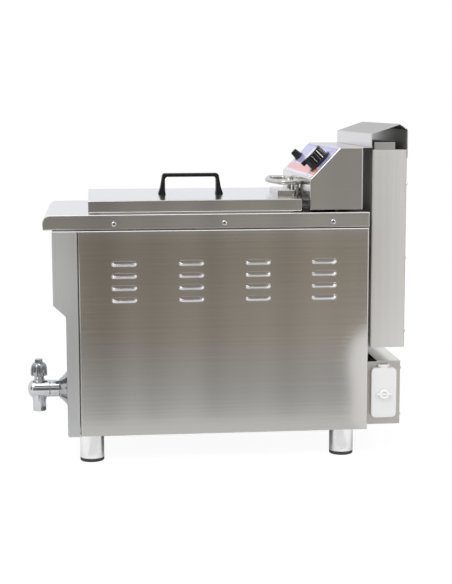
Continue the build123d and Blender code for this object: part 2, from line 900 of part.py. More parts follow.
def head_casing():
    outline = head_outline()
    shell = drawn_across(outline, head_half)
    side_edges = shell.faces().sort_by(Axis.X)[-1].edges() + shell.faces().sort_by(Axis.X)[0].edges()
    shell = fillet(side_edges, head_edge_round)
    shell -= drawn_across(offset(outline, -panel_sheet, kind=Kind.INTERSECTION), head_half - panel_sheet)
    shell -= block(
        both(head_half - head_flange),
        (head_front + head_flange, head_back - head_flange),
        (head_bottom - 1, head_bottom + 2 * panel_sheet),
    )
    shelf_y = (head_back - panel_sheet, duct_front - seam)
    shell += block(both(head_half - head_edge_round), shelf_y, (head_top - panel_sheet, head_top))
    hole = Cylinder(shaft_radius + loose_gap, 4 * head_edge_round)
    return shell - [slope * Pos(side * knob_x, 0, 0) * hole for side in (1, -1)]


def head_spacers():
    rows = (head_front + head_flange, head_back - head_flange)
    height = (worktop_top, head_bottom)
    made = []
    for x, y in corners(head_half - spacer_inset, rows):
        made.append(block(both_about(x, spacer_size / 2), both_about(y, spacer_size / 2), height))
    return made


def panel_film():
    plan = RectangleRounded(2 * film_half, slope_length - 2 * film_border, film_corner)
    hole = Cylinder(shaft_radius + loose_gap, 4 * head_edge_round)
    return extrude(slope * plan, film_sheet) - [slope * Pos(side * knob_x, 0, 0) * hole for side in (1, -1)]


knob_base = film_sheet + knob_lift


def thermostat_knob():
    grip = knob_base + dial_skirt
    top = grip + dial_height
    knob = frustum(ring_of(skirt_sides, dial_radius, dial_radius), knob_base, grip, 1)
    knob += frustum(ring_of(dial_ribs, dial_body, dial_body - rib_depth), grip, top, dial_shrink)
    knob += block(both(nose_width / 2), (-dial_nose, 0), (top - nose_height, top))
    pointer_end = (dial_body - rib_depth) * dial_shrink
    knob += block(both(pointer_width / 2), (-pointer_end, 0), (top, top + pointer_rise))
    knob -= upright(0, 0, (knob_base - 1, top - knob_cap), shaft_radius)
    return slope * Pos(knob_x, 0, 0) * knob


def ignition_knob():
    top = knob_base + small_height
    knob = frustum(ring_of(small_sides, small_base, small_base), knob_base, top, small_shrink)
    pointer_end = (small_base - rib_depth) * small_shrink
    knob += block(both(pointer_width / 2), (-pointer_end, 0), (top, top + pointer_rise))
    knob -= upright(0, 0, (knob_base - 1, top - knob_cap), shaft_radius)
    return slope * Pos(-knob_x, 0, 0) * knob


def knob_shaft(side, height):
    end = knob_base + height - knob_cap
    return slope * Pos(side * knob_x, 0, 0) * upright(0, 0, (-panel_sheet - shaft_reach, end), shaft_radius)


def switch_body(side):
    body = block(both(switch_size / 2), both(switch_size / 2), (-panel_sheet - switch_depth, -panel_sheet))
    body = chamfer(body.edges().filter_by(Axis.Z), head_edge_round)
    body -= upright(0, 0, (-panel_sheet - shaft_reach - loose_gap, 1), shaft_radius + shaft_gap)
    return slope * Pos(side * knob_x, 0, 0) * body


def thermostat_capillary():
    start = slope * Pos(knob_x, 0, -panel_sheet - switch_depth)
    inside = tank_back - bulb_radius
    bulb_z = worktop_top - bulb_below_rim
    bulb_end = knob_x - capillary_turn
    path = [
        tuple(start.position),
        tuple(capillary_end.position),
        (knob_x, capillary_y, capillary_z),
        (knob_x, inside, capillary_z),
        (knob_x, inside, bulb_z),
        (bulb_end, inside, bulb_z),
    ]
    bulb = along_x((bulb_end - bulb_length, bulb_end), inside, bulb_z, bulb_radius)
    return mitred(RegularPolygon(capillary_radius, 6), path) + bulb


# Drain tap
tap_knob_base = drain_z + bonnet_top + loose_gap
spindle_bottom = drain_z + spindle_radius
drain_end = fascia_low_face - rosette_depth - drain_radius / 2


def facing_front(y):
    return Plane(origin=(0, y, drain_z), x_dir=(1, 0, 0), z_dir=(0, -1, 0))


def tap_body():
    nose = tap_front + barrel_nose
    neck_end = fascia_low_face - panel_sheet
    spout_y = tap_front + spout_back
    spout_end = drain_z - spout_length
    bonnet_end = drain_z + bonnet_top
    ring = ring_of(nose_sides, barrel_radius, barrel_radius)
    body = facing_front(neck_end) * frustum(ring, 0, neck_end - nose, 1)
    body += facing_front(nose) * frustum(ring, 0, barrel_nose, nose_shrink)
    body += upright(0, spout_y, (spout_end, drain_z), spout_radius)
    collar = ring_of(nose_sides, collar_radius, collar_radius)
    collar_end = drain_z - barrel_radius - collar_rise
    body += Pos(0, spout_y, 0) * frustum(collar, collar_end, drain_z, 1)
    body += upright(0, spout_y, (drain_z, bonnet_end), bonnet_radius)
    pipe = RegularPolygon(drain_radius + pipe_gap, pipe_sides)
    body -= extrude(facing_front(neck_end) * pipe, neck_end - drain_end)
    body -= upright(0, spout_y, (spout_end - 1, spout_end + spout_depth), spout_bore)
    stem_z = (spindle_bottom - loose_gap, bonnet_end + 1)
    return body - upright(0, spout_y, stem_z, spindle_radius + pipe_gap)


def tap_rosette():
    inner = barrel_radius + pipe_gap
    front = fascia_low_face - rosette_depth
    edge = fascia_low_face - rosette_edge
    ring = ring_of(rosette_sides, rosette_radius, rosette_radius)
    shrink = (inner + rosette_edge) / rosette_radius
    flare = facing_front(fascia_low_face) * frustum(ring, 0, rosette_edge, 1)
    flare += facing_front(edge) * frustum(ring, 0, edge - front, shrink)
    bore = Plane.XZ * RegularPolygon(inner, rosette_sides, major_radius=False)
    return flare - Pos(0, 0, drain_z) * extrude(bore, rosette_radius + rosette_depth, both=True)


def tap_knob():
    ring = ring_of(knob_flutes, knob_radius, knob_radius - flute_depth)
    shoulder = tap_knob_base + knob_skirt
    top = tap_knob_base + knob_height
    knob = frustum(ring, tap_knob_base, shoulder, 1) + frustum(ring, shoulder, top, knob_shrink)
    knob += extrude(Pos(0, 0, top) * RegularPolygon(nut_radius, 6), knob_nut)
    knob -= upright(0, 0, (tap_knob_base - 1, tap_knob_base + knob_height / 2), spindle_radius)
    return Pos(0, tap_front + spout_back, 0) * knob


def tap_spindle():
    height = (spindle_bottom, tap_knob_base + knob_height / 2)
    return upright(0, tap_front + spout_back, height, spindle_radius)


# Lid
def lid_shell():
    y = (lid_front, lid_back)
    shell = block(both(lid_half), y, (lid_bottom, lid_top))
    shell = fillet(shell.faces().sort_by(Axis.Z)[-1].edges(), lid_edge_round)
    inner_y = (lid_front + lid_sheet, lid_back - lid_sheet)
    shell -= block(both(lid_half - lid_sheet), inner_y, (lid_bottom + lid_sheet, lid_top - lid_sheet))
    seat_y = (lid_front + lid_seat, lid_back - lid_seat)
    shell -= block(both(lid_half - lid_seat), seat_y, (lid_bottom - 1, lid_bottom + 2 * lid_sheet))
    notch = hood_half - 2 * lid_sheet
    return shell - block(both(notch), (hood_front + lid_sheet, lid_back + 1), (lid_bottom - 1, lid_top + 1))


def handle_hood():
    y = (hood_front, hood_back)
    hood = block(both(hood_half), y, (lid_top, lid_top + hood_height))
    upper = hood.faces().sort_by(Axis.Z)[-1].edges()
    hood = fillet(upper.filter_by(Axis.Y) + upper.filter_by(Axis.X).sort_by(Axis.Y)[:1], hood_round)
    inner_z = (lid_top - 1, lid_top + hood_height - lid_sheet)
    return hood - block(both(hood_half - lid_sheet), (hood_front + lid_sheet, hood_back + 1), inner_z)


handle_y = (lid_front + lid_back) / 2 + handle_shift


def lid_handle():
    foot = handle_length / 2
    shoulder = handle_top_length / 2
    inner = shoulder - handle_leg
    points = [
        (-foot, 0),
        (handle_flare - foot, handle_flare_height),
        (-shoulder, handle_height),
        (shoulder, handle_height),
        (foot - handle_flare, handle_flare_height),
        (foot, 0),
        (foot - handle_foot, 0),
        (inner, handle_bar),
        (inner, handle_height - handle_bar),
        (-inner, handle_height - handle_bar),
        (-inner, handle_bar),
        (handle_foot - foot, 0),
    ]
    outline = outline_of(points)
    high = [v for v in outline.vertices() if v.Y > handle_height / 2]
    bow = drawn_across(Pos(handle_y, lid_top) * fillet(high, handle_bend), handle_width / 2)
    straight = [e for e in bow.edges().filter_by(Axis.Y) if e.center().Z > lid_top + handle_bar]
    return chamfer(straight, handle_edge)


# Basket
basket_half = tank_half - basket_side_gap
basket_y = (tank_front + basket_front_gap, tank_back - basket_rear_gap)
basket_z = (tank_floor + screen_height + loose_gap, worktop_top - basket_top_gap)


def net(width, height):
    columns = max(1, round((width - net_wire) / net_pitch))
    rows = max(1, round((height - net_wire) / net_pitch))
    pitch_x = (width - net_wire) / columns
    pitch_y = (height - net_wire) / rows
    gaps = GridLocations(pitch_x, pitch_y, columns, rows) * Rectangle(pitch_x - net_wire, pitch_y - net_wire)
    return Rectangle(width, height) - gaps


def basket_floor():
    middle = (basket_y[0] + basket_y[1]) / 2
    sheet = net(2 * basket_half, basket_y[1] - basket_y[0])
    return extrude(Pos(0, middle, basket_z[0]) * sheet, net_sheet)


wall_z = (basket_z[0] + net_sheet, basket_z[1] - 2 * rim_rod)


def basket_sides():
    middle = ((basket_y[0] + basket_y[1]) / 2, (wall_z[0] + wall_z[1]) / 2)
    plane = Plane(origin=(0, *middle), x_dir=(0, 1, 0), z_dir=(1, 0, 0))
    wall = extrude(plane * net(basket_y[1] - basket_y[0], wall_z[1] - wall_z[0]), net_sheet)
    return [Pos(basket_half - net_sheet, 0, 0) * wall, Pos(-basket_half, 0, 0) * wall]


def basket_ends():
    plane = Plane(origin=(0, 0, (wall_z[0] + wall_z[1]) / 2), x_dir=(1, 0, 0), z_dir=(0, -1, 0))
    wall = extrude(plane * net(2 * (basket_half - net_sheet), wall_z[1] - wall_z[0]), net_sheet)
    return [Pos(0, basket_y[0] + net_sheet, 0) * wall, Pos(0, basket_y[1], 0) * wall]


def basket_rim():
    outer = slab(both(basket_half), basket_y, (wall_z[1], basket_z[1]), 2 * rim_rod)
    inner_y = (basket_y[0] + 2 * rim_rod, basket_y[1] - 2 * rim_rod)
    return outer - block(both(basket_half - 2 * rim_rod), inner_y, (wall_z[1] - 1, basket_z[1] + 1))


def basket_handle():
    back = basket_y[1] + rod_radius
    level = worktop_top + rod_rise
    rear = head_front - rod_to_head
    top = worktop_top + ring_rise
    one_side = [
        (rod_x, back, basket_z[1] - rod_drop),
        (rod_x, back, level),
        (rod_x, rear, level),
        (rod_x, rear, top),
        (ring_half, rear, top),
        (ring_half, rear - ring_shoulder, top),
        (ring_tip_half, rear - ring_reach, top),
    ]
    other_side = [(-x, y, z) for x, y, z in reversed(one_side)]
    return bent_rod(one_side + other_side, rod_radius, rod_bend)


def save(node, shape):
    if isinstance(shape, list):
        shape = Compound(shape)
    export_step(Pos(0, -mid_y, 0) * shape, f"parts/{node}.step")


right_panel = side_panel()
pieces = {
    "legs": legs(),
    "leg_pads": leg_pads(),
    "base_plate": base_plate(),
    "right_side_panel": right_panel,
    "left_side_panel": mirror(right_panel, about=Plane.YZ),
    "front_fascia": front_fascia(),
    "rear_panel": rear_panel(),
    "top_frame": top_frame(),
    "worktop": worktop(),
    "oil_tank": oil_tank(),
    "crumb_screen": crumb_screen(),
    "drain_pipe": drain_pipe(),
    "combustion_chamber": combustion_chamber(),
    "chamber_rails": chamber_rails(),
    "insulation_wrap": insulation_wrap(),
    "flue_tunnel": flue_tunnel(),
    "burner_tubes": burner_tubes(),
    "gas_manifold": gas_manifold(),
    "gas_valve": gas_valve(),
    "gas_inlet": gas_inlet(),
    "pulse_igniter": pulse_igniter(),
    "flue_gasket": flue_gasket(),
    "flue_duct": flue_duct(),
    "flue_rear_cover": flue_rear_cover(),
    "flue_outlet": flue_outlet(),
    "flue_hood": flue_hood(),
    "burner_box": burner_box(),
    "burner_box_top": burner_box_top(),
    "battery_case": battery_case(),
    "battery_hinge_pin": battery_hinge_pin(),
    "battery_cover": battery_cover(),
    "battery_latch": battery_latch(),
    "battery_cell": battery_cell(),
    "head_casing": head_casing(),
    "head_spacers": head_spacers(),
    "panel_film": panel_film(),
    "thermostat_knob": thermostat_knob(),
    "thermostat_shaft": knob_shaft(1, dial_skirt + dial_height),
    "thermostat": switch_body(1),
    "thermostat_capillary": thermostat_capillary(),
    "ignition_knob": ignition_knob(),
    "ignition_shaft": knob_shaft(-1, small_height),
    "ignition_switch": switch_body(-1),
    "tap_body": tap_body(),
    "tap_rosette": tap_rosette(),
    "tap_knob": tap_knob(),
    "tap_spindle": tap_spindle(),
    "lid_shell": lid_shell(),
    "handle_hood": handle_hood(),
    "lid_handle": lid_handle(),
    "basket_floor": basket_floor(),
    "basket_sides": basket_sides(),
    "basket_ends": basket_ends(),
    "basket_rim": basket_rim(),
    "basket_handle": basket_handle(),
}
for node, shape in pieces.items():
    save(node, shape)
print("pieces", len(pieces), "middle", mid_y)
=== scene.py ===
import json
import math

import bmesh
import bpy
from mathutils import Matrix, Vector


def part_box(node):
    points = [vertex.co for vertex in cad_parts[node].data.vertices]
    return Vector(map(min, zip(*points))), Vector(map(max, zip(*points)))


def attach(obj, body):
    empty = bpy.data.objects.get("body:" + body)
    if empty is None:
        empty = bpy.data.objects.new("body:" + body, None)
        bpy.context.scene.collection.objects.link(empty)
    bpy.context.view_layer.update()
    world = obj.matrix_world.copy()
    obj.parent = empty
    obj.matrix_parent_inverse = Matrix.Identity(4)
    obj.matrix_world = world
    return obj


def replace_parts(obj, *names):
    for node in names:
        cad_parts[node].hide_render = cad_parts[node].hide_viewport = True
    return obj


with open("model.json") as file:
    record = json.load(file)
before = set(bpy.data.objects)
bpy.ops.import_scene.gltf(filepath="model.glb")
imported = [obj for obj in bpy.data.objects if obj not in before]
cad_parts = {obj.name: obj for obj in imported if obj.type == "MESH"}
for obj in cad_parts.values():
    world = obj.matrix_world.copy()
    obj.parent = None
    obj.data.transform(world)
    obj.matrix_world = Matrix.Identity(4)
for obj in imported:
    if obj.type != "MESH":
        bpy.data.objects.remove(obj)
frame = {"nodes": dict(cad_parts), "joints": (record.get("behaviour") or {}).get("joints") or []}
nodes = frame["nodes"]
joints = {joint["name"]: joint for joint in frame["joints"]}
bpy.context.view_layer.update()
print("frame loaded:", len(nodes), "nodes")

axisX, axisY, axisZ = Vector((1, 0, 0)), Vector((0, 1, 0)), Vector((0, 0, 1))


def mm(value):
    return value / 1000


def inMm(length):
    return length * 1000


def addNode(owner, kind):
    return owner.node_tree.nodes.new("ShaderNode" + kind)


# Links a socket to a node's input, or sets a plain value there
def feed(owner, given, target):
    if isinstance(given, bpy.types.NodeSocket):
        owner.node_tree.links.new(given, target)
    else:
        target.default_value = given


def computed(owner, kind, operation, *inputs):
    node = addNode(owner, kind)
    node.operation = operation
    for target, given in zip(node.inputs, inputs):
        feed(owner, given, target)
    return node.outputs


def ranged(owner, factor, start, end, low=0.0, high=1.0):
    node = addNode(owner, "MapRange")
    spans = {"Value": factor, "From Min": start, "From Max": end, "To Min": low, "To Max": high}
    for name, given in spans.items():
        feed(owner, given, node.inputs[name])
    return node.outputs["Result"]


# Colours along a factor, from stops of (position, colour)
def ramped(owner, factor, stops, interpolation="LINEAR"):
    node = addNode(owner, "ValToRGB")
    ramp = node.color_ramp
    ramp.interpolation = interpolation
    while len(ramp.elements) < len(stops):
        ramp.elements.new(1.0)
    for element, (position, colour) in zip(ramp.elements, stops):
        element.position = position
        element.color = (*colour, 1)
    feed(owner, factor, node.inputs[0])
    return node.outputs[0]


# The Mix node's plain sockets start at 2, its colour sockets at 6
def mixed(owner, share, first, second, kind="FLOAT", blend="MIX"):
    node = addNode(owner, "Mix")
    node.data_type = kind
    node.blend_type = blend
    start, result = (6, 2) if kind == "RGBA" else (2, 0)
    for index, given in ((0, share), (start, first), (start + 1, second)):
        feed(owner, given, node.inputs[index])
    return node.outputs[result]


def principled(material):
    return material.node_tree.nodes["Principled BSDF"]


# Lays a value over what already feeds a socket of the shader
def overlaid(material, socketName, share, value):
    target = principled(material).inputs[socketName]
    kind = "RGBA" if target.type == "RGBA" else "FLOAT"
    feed(material, mixed(material, share, target.links[0].from_socket, value, kind), target)


def startFinish(name, metallic, roughness):
    material = bpy.data.materials.new(name)
    material.use_nodes = True
    shader = principled(material)
    shader.inputs["Metallic"].default_value = metallic
    shader.inputs["Roughness"].default_value = roughness
    return material


def objectPlace(owner):
    return addNode(owner, "TexCoord").outputs["Object"]


def grain(owner, stretch, detail):
    mapping = addNode(owner, "Mapping")
    mapping.inputs["Scale"].default_value = stretch
    noise = addNode(owner, "TexNoise")
    noise.inputs["Scale"].default_value = 1.0
    noise.inputs["Detail"].default_value = detail
    feed(owner, objectPlace(owner), mapping.inputs["Vector"])
    feed(owner, mapping.outputs["Vector"], noise.inputs["Vector"])
    return noise.outputs[0]


surface = {
    "toneSpan": (0.32, 0.68),  # of the noise's own 0 to 1
    "roughSpan": (0.3, 0.7),
    "speckleDetail": 3.0,
    "bumpDepth": 0.0003,
    "edgeSamples": 6,
}


def shade(colour, factor):
    return tuple(min(1.0, channel * factor) for channel in colour)


def toned(material, factor, colour, contrast):
    stops = [(spot, shade(colour, share)) for spot, share in zip(surface["toneSpan"], contrast)]
    feed(material, ramped(material, factor, stops), principled(material).inputs["Base Color"])


def uneven(material, factor, roughness):
    rough = ranged(material, factor, *surface["roughSpan"], *roughness)
    feed(material, rough, principled(material).inputs["Roughness"])


def bumped(material, factor, strength, depth, edge):
    bump = addNode(material, "Bump")
    bump.inputs["Strength"].default_value = strength
    bump.inputs["Distance"].default_value = depth
    feed(material, factor, bump.inputs["Height"])
    if edge:
        worn = addNode(material, "Bevel")
        worn.samples = surface["edgeSamples"]
        worn.inputs["Radius"].default_value = edge
        feed(material, worn.outputs["Normal"], bump.inputs["Normal"])
    feed(material, bump.outputs["Normal"], principled(material).inputs["Normal"])


steel = {
    "alongGrain": 3.0,
    "acrossGrain": 2400.0,
    "lineDetail": 4.0,
    "cloudScale": 0.22,
    "cloudDetail": 2.0,
    "cloudShare": 0.6,
    "contrast": (0.95, 1.035),
    "bump": 0.02,
    "bumpDepth": 0.0002,
}


def brushedSteel(name, axis, tint, roughness, edge):
    material = startFinish(name, 1.0, roughness[0])
    stretch = [steel["acrossGrain"]] * 3
    stretch[axis] = steel["alongGrain"]
    lines = grain(material, stretch, steel["lineDetail"])
    wide = [size * steel["cloudScale"] for size in stretch]
    cloud = grain(material, wide, steel["cloudDetail"])
    both = mixed(material, steel["cloudShare"], lines, cloud)
    toned(material, both, tint, steel["contrast"])
    uneven(material, both, roughness)
    bumped(material, lines, steel["bump"], steel["bumpDepth"], edge)
    return material


def plainFinish(name, colour, metallic, roughness, scale, contrast, bump, edge=0.0):
    material = startFinish(name, metallic, roughness[0])
    speckle = grain(material, [scale] * 3, surface["speckleDetail"])
    toned(material, speckle, colour, contrast)
    uneven(material, speckle, roughness)
    if bump:
        bumped(material, speckle, bump, surface["bumpDepth"], edge)
    return material


acrossX, alongY, upZ = 0, 1, 2
satin = ((0.62, 0.605, 0.585), (0.13, 0.19))  # tint and roughness of the bright brushed sheet
dull = (0.42, 0.52)
foldedEdge = 0.0013
sheets = {  # way of the grain, tint, roughness, rounded edge
    "sheetAlong": (alongY, *satin, foldedEdge),
    "hemmedSheet": (alongY, *satin, 0.003),
    "sheetAcross": (acrossX, *satin, foldedEdge),
    "sheetUp": (upZ, (0.67, 0.68, 0.682), dull, foldedEdge),
    "paleSheet": (upZ, (0.69, 0.682, 0.666), dull, foldedEdge),
    "boxSheet": (alongY, (0.5, 0.485, 0.46), dull, foldedEdge),
    "hiddenSheet": (alongY, (0.42, 0.41, 0.4), (0.4, 0.55), foldedEdge),
}
plainFinishes = {  # colour, metallic, roughness, speckle, contrast, bump, rounded edge
    # a brighter copy of chrome for the legs: painted light
    "legChromePaintedLight": ((0.89, 0.89, 0.895), 1.0, (0.1, 0.18), 60.0, (0.97, 1.02), 0.0),
    "chrome": ((0.62, 0.625, 0.645), 1.0, (0.06, 0.12), 60.0, (0.96, 1.04), 0.0),
    # a darker copy of chrome for the tap's knob and rosette: painted shade
    "knobChromePaintedShade": ((0.4, 0.405, 0.42), 1.0, (0.06, 0.12), 60.0, (0.96, 1.04), 0.0),
    "wire": ((0.56, 0.554, 0.548), 1.0, (0.26, 0.34), 90.0, (0.94, 1.04), 0.0),
    "turnedSteel": ((0.5, 0.49, 0.47), 1.0, (0.3, 0.42), 400.0, (0.9, 1.05), 0.05),
    "blackPlastic": ((0.008, 0.008, 0.009), 0.0, (0.34, 0.46), 1400.0, (0.8, 1.3), 0.12),
    "glossBlack": ((0.009, 0.009, 0.01), 0.0, (0.04, 0.08), 900.0, (0.8, 1.2), 0.01),
    "whitePlastic": ((0.87, 0.87, 0.865), 0.0, (0.3, 0.4), 500.0, (0.98, 1.01), 0.03),
    "whiteMoulding": ((0.77, 0.77, 0.775), 0.0, (0.3, 0.4), 500.0, (0.98, 1.01), 0.03, 0.0022),
    "rubber": ((0.035, 0.036, 0.042), 0.0, (0.6, 0.75), 900.0, (0.8, 1.25), 0.15),
    "brass": ((0.7, 0.52, 0.25), 1.0, (0.25, 0.38), 300.0, (0.88, 1.05), 0.05),
    "casting": ((0.5, 0.5, 0.5), 1.0, (0.45, 0.6), 700.0, (0.85, 1.1), 0.3),
    # dark iron for the burner tubes; also used as painted shade on the top frame and in the screws'
    # crosses
    "ironAndPaintedShade": ((0.09, 0.085, 0.08), 0.6, (0.6, 0.8), 500.0, (0.7, 1.3), 0.4),
    "fibre": ((0.42, 0.37, 0.3), 0.0, (0.85, 0.95), 350.0, (0.75, 1.1), 0.6),
    "darkPlastic": ((0.05, 0.05, 0.055), 0.0, (0.4, 0.55), 700.0, (0.85, 1.2), 0.1),
    "cellJacket": ((0.12, 0.14, 0.17), 0.3, (0.25, 0.35), 200.0, (0.9, 1.1), 0.02),
    "silverInlay": ((0.8, 0.8, 0.81), 1.0, (0.22, 0.32), 600.0, (0.94, 1.04), 0.04),
    # near-white, non-metal paint for the rods that are the folds' painted highlights
    "foldHighlightPaint": ((0.95, 0.95, 0.955), 0.0, (0.25, 0.35), 700.0, (0.97, 1.02), 0.0),
    "whitePrint": ((0.9, 0.9, 0.92), 0.0, (0.4, 0.5), 800.0, (0.97, 1.02), 0.0),
    "inkPrint": ((0.05, 0.05, 0.12), 0.0, (0.4, 0.5), 800.0, (0.9, 1.1), 0.0),
}
blackGloss = {"blackPlastic": 0.25, "glossBlack": 0.35}  # how strongly the black mirrors
finishes = {name: brushedSteel(name, *values) for name, values in sheets.items()}
finishes |= {name: plainFinish(name, *values) for name, values in plainFinishes.items()}
for name, shine in blackGloss.items():
    principled(finishes[name]).inputs["Specular IOR Level"].default_value = shine


# The control panel's frame: across, up the slope and out of it
dialPlace = Vector(joints["thermostat_turn"]["pos_m"])
smallPlace = Vector(joints["ignition_turn"]["pos_m"])
slopeOut = -Vector(joints["thermostat_turn"]["axis"]).normalized()
slopeUp = slopeOut.cross(axisX)
slopeMiddle = (dialPlace + smallPlace) / 2

panelArt = {
    "pale": (0.76, 0.74, 0.86),
    "coral": (0.84, 0.34, 0.29),
    "field": (0.45, 0.43, 0.8),
    "fieldDeep": (0.33, 0.32, 0.72),
    "bands": (
        (0.0, "pale"), (0.09, "coral"), (0.3, "pale"), (0.335, "field"), (0.93, "fieldDeep"),
    ),
    "halfHeight": 33.0,
    "coat": 0.3,
    "coatRoughness": 0.15,
    "roughness": (0.26, 0.36),
    "speckle": 900.0,
    "speckleDetail": 2.0,
    "speckleShare": 0.06,
}


def panelPrint():
    material = startFinish("panelPrint", 0.0, panelArt["roughness"][0])
    shader = principled(material)
    shader.inputs["Coat Weight"].default_value = panelArt["coat"]
    shader.inputs["Coat Roughness"].default_value = panelArt["coatRoughness"]
    away = computed(material, "VectorMath", "SUBTRACT", objectPlace(material), slopeMiddle)
    climb = computed(material, "VectorMath", "DOT_PRODUCT", away["Vector"], slopeUp)
    half = mm(panelArt["halfHeight"])
    rise = ranged(material, climb["Value"], -half, half)
    stops = [(position, panelArt[tint]) for position, tint in panelArt["bands"]]
    bands = ramped(material, rise, stops, "CONSTANT")
    speckle = grain(material, [panelArt["speckle"]] * 3, panelArt["speckleDetail"])
    share = panelArt["speckleShare"]
    tint = mixed(material, share, bands, speckle, "RGBA", "MULTIPLY")
    feed(material, tint, shader.inputs["Base Color"])
    uneven(material, speckle, panelArt["roughness"])
    return material


# paler tint: painted light on the hood's shaded inside; higher roughness: dulling by heat
hoodInsidePaintedLightAndDulling = {"tint": (0.66, 0.66, 0.64), "roughness": 0.52}


# The flue hood's sheet where it faces its own middle: rougher there, dulled by heat, and paler
# there, painted light on the shaded inside
def hoodPaintedLightInside():
    material = brushedSteel("hoodPaintedLightInside", *sheets["sheetAcross"])
    low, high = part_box("flue_hood")
    place = addNode(material, "NewGeometry").outputs
    middle = (low + high) / 2
    away = computed(material, "VectorMath", "SUBTRACT", place["Position"], middle)["Vector"]
    level = computed(material, "VectorMath", "MULTIPLY", away, axisY + axisZ)["Vector"]
    facing = computed(material, "VectorMath", "DOT_PRODUCT", level, place["True Normal"])
    inner = computed(material, "Math", "LESS_THAN", facing["Value"], 0.0)["Value"]
    # painted light: the inside faces take the paler tint
    overlaid(material, "Base Color", inner, (*hoodInsidePaintedLightAndDulling["tint"], 1))
    overlaid(material, "Roughness", inner, hoodInsidePaintedLightAndDulling["roughness"])
    return material


finishes["panelPrint"] = panelPrint()
finishes["hoodPaintedLightInside"] = hoodPaintedLightInside()

nodeFinish = {
    "hemmedSheet": ["worktop"],
    "sheetAlong": ["lid_shell", "handle_hood", "head_casing", "burner_box_top"],
    "sheetAcross": ["crumb_screen"],
    "hoodPaintedLightInside": ["flue_hood"],
    "sheetUp": ["front_fascia", "rear_panel"],
    "paleSheet": ["flue_duct", "flue_rear_cover"],
    "boxSheet": ["burner_box"],
    "hiddenSheet": [
        "base_plate", "combustion_chamber", "chamber_rails", "flue_tunnel", "flue_outlet",
        "oil_tank",
    ],
    "legChromePaintedLight": ["legs"],
    "chrome": ["tap_spindle"],
    "turnedSteel": [
        "drain_pipe", "thermostat_shaft", "ignition_shaft", "battery_hinge_pin", "head_spacers",
        "thermostat_capillary",
    ],
    "blackPlastic": ["lid_handle"],
    "whiteMoulding": ["battery_case", "battery_cover"],
    "brass": ["gas_manifold", "gas_inlet"],
    "casting": ["gas_valve"],
    # top_frame takes the dark iron as painted shade in the seam under the worktop's skirt
    "ironAndPaintedShade": ["burner_tubes", "top_frame"],
    "fibre": ["insulation_wrap", "flue_gasket"],
    "darkPlastic": ["thermostat", "ignition_switch", "pulse_igniter"],
    "cellJacket": ["battery_cell"],
    "panelPrint": ["panel_film"],
}
for finish, names in nodeFinish.items():
    for name in names:
        if not nodes[name].material_slots:
            nodes[name].data.materials.append(None)
        for slot in nodes[name].material_slots:
            slot.material = finishes[finish]
print("finishes made:", len(finishes))


def placePiece(name, mesh, finish, body):
    mesh.materials.append(finishes[finish])
    piece = bpy.data.objects.new(name, mesh)
    bpy.context.scene.collection.objects.link(piece)
    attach(piece, body)
    return piece


weldGap = 1e-6


def addPiece(name, bm, finish, body, angle=35):
    bmesh.ops.remove_doubles(bm, verts=bm.verts[:], dist=weldGap)
    bmesh.ops.recalc_face_normals(bm, faces=bm.faces[:])
    mesh = bpy.data.meshes.new(name)
    bm.to_mesh(mesh)
    bm.free()
    mesh.shade_smooth()
    mesh.set_sharp_from_angle(angle=math.radians(angle))
    return placePiece(name, mesh, finish, body)


def placed(origin, across, up, out):
    turn = Matrix((across, up, out)).transposed().to_4x4()
    return Matrix.Translation(origin) @ turn


# Closes the band between two rings, or a fan where one of them is a single point
def bridge(bm, lower, upper, steps):
    for step in range(steps):
        ahead = (step + 1) % steps
        ends = [lower[step % len(lower)], lower[ahead % len(lower)]]
        ends += [upper[ahead % len(upper)], upper[step % len(upper)]]
        corners = list(dict.fromkeys(ends))
        if len(corners) > 2:
            bm.faces.new(corners)


# Turns a profile of (radius, height) in mm about the place's third axis
def lathe(bm, profile, place, steps=40, ripple=None):
    rings = []
    for radius, height in profile:
        ring = []
        for step in range(steps if radius else 1):
            angle = 2 * math.pi * step / steps
            reach = mm(radius * (ripple(angle, height) if ripple else 1))
            spot = Vector((reach * math.cos(angle), reach * math.sin(angle), mm(height)))
            ring.append(bm.verts.new(place @ spot))
        rings.append(ring)
    for lower, upper in zip(rings, rings[1:]):
        bridge(bm, lower, upper, steps)


def arc(middle, radii, start, end, steps):
    points = []
    for step in range(steps + 1):
        angle = math.radians(start + (end - start) * step / steps)
        along, up = radii[0] * math.cos(angle), radii[1] * math.sin(angle)
        points.append((middle[0] + along, middle[1] + up))
    return points


# Rounds the corners of a run of points, for bent rod
def bentPath(points, bend, steps):
    path = [Vector(points[0])]
    for before, corner, after in zip(points, points[1:], points[2:]):
        corner = Vector(corner)
        back = (Vector(before) - corner).normalized()
        ahead = (Vector(after) - corner).normalized()
        half = back.angle(ahead) / 2
        setback = bend / math.tan(half)
        centre = corner + (back + ahead).normalized() * (bend / math.sin(half))
        first = corner + back * setback - centre
        last = corner + ahead * setback - centre
        for step in range(steps + 1):
            path.append(centre + first.slerp(last, step / steps) * bend)
    path.append(Vector(points[-1]))
    return path


def tube(bm, path, radius, sides=12, closed=False):
    count = len(path)
    rings = []
    normal = None
    for index, spot in enumerate(path):
        ahead = path[(index + 1) % count] if closed or index < count - 1 else spot
        behind = path[index - 1] if closed or index else spot
        tangent = (ahead - behind).normalized()
        if normal is None:
            normal = tangent.orthogonal().normalized()
        normal = (normal - tangent * normal.dot(tangent)).normalized()
        side = tangent.cross(normal)
        ring = []
        for step in range(sides):
            angle = 2 * math.pi * step / sides
            away = normal * math.cos(angle) + side * math.sin(angle)
            ring.append(bm.verts.new(spot + away * radius))
        rings.append(ring)
    for lower, upper in zip(rings, rings[1:]):
        bridge(bm, lower, upper, sides)
    if closed:
        bridge(bm, rings[-1], rings[0], sides)
    else:
        bm.faces.new(rings[0])
        bm.faces.new(rings[-1])


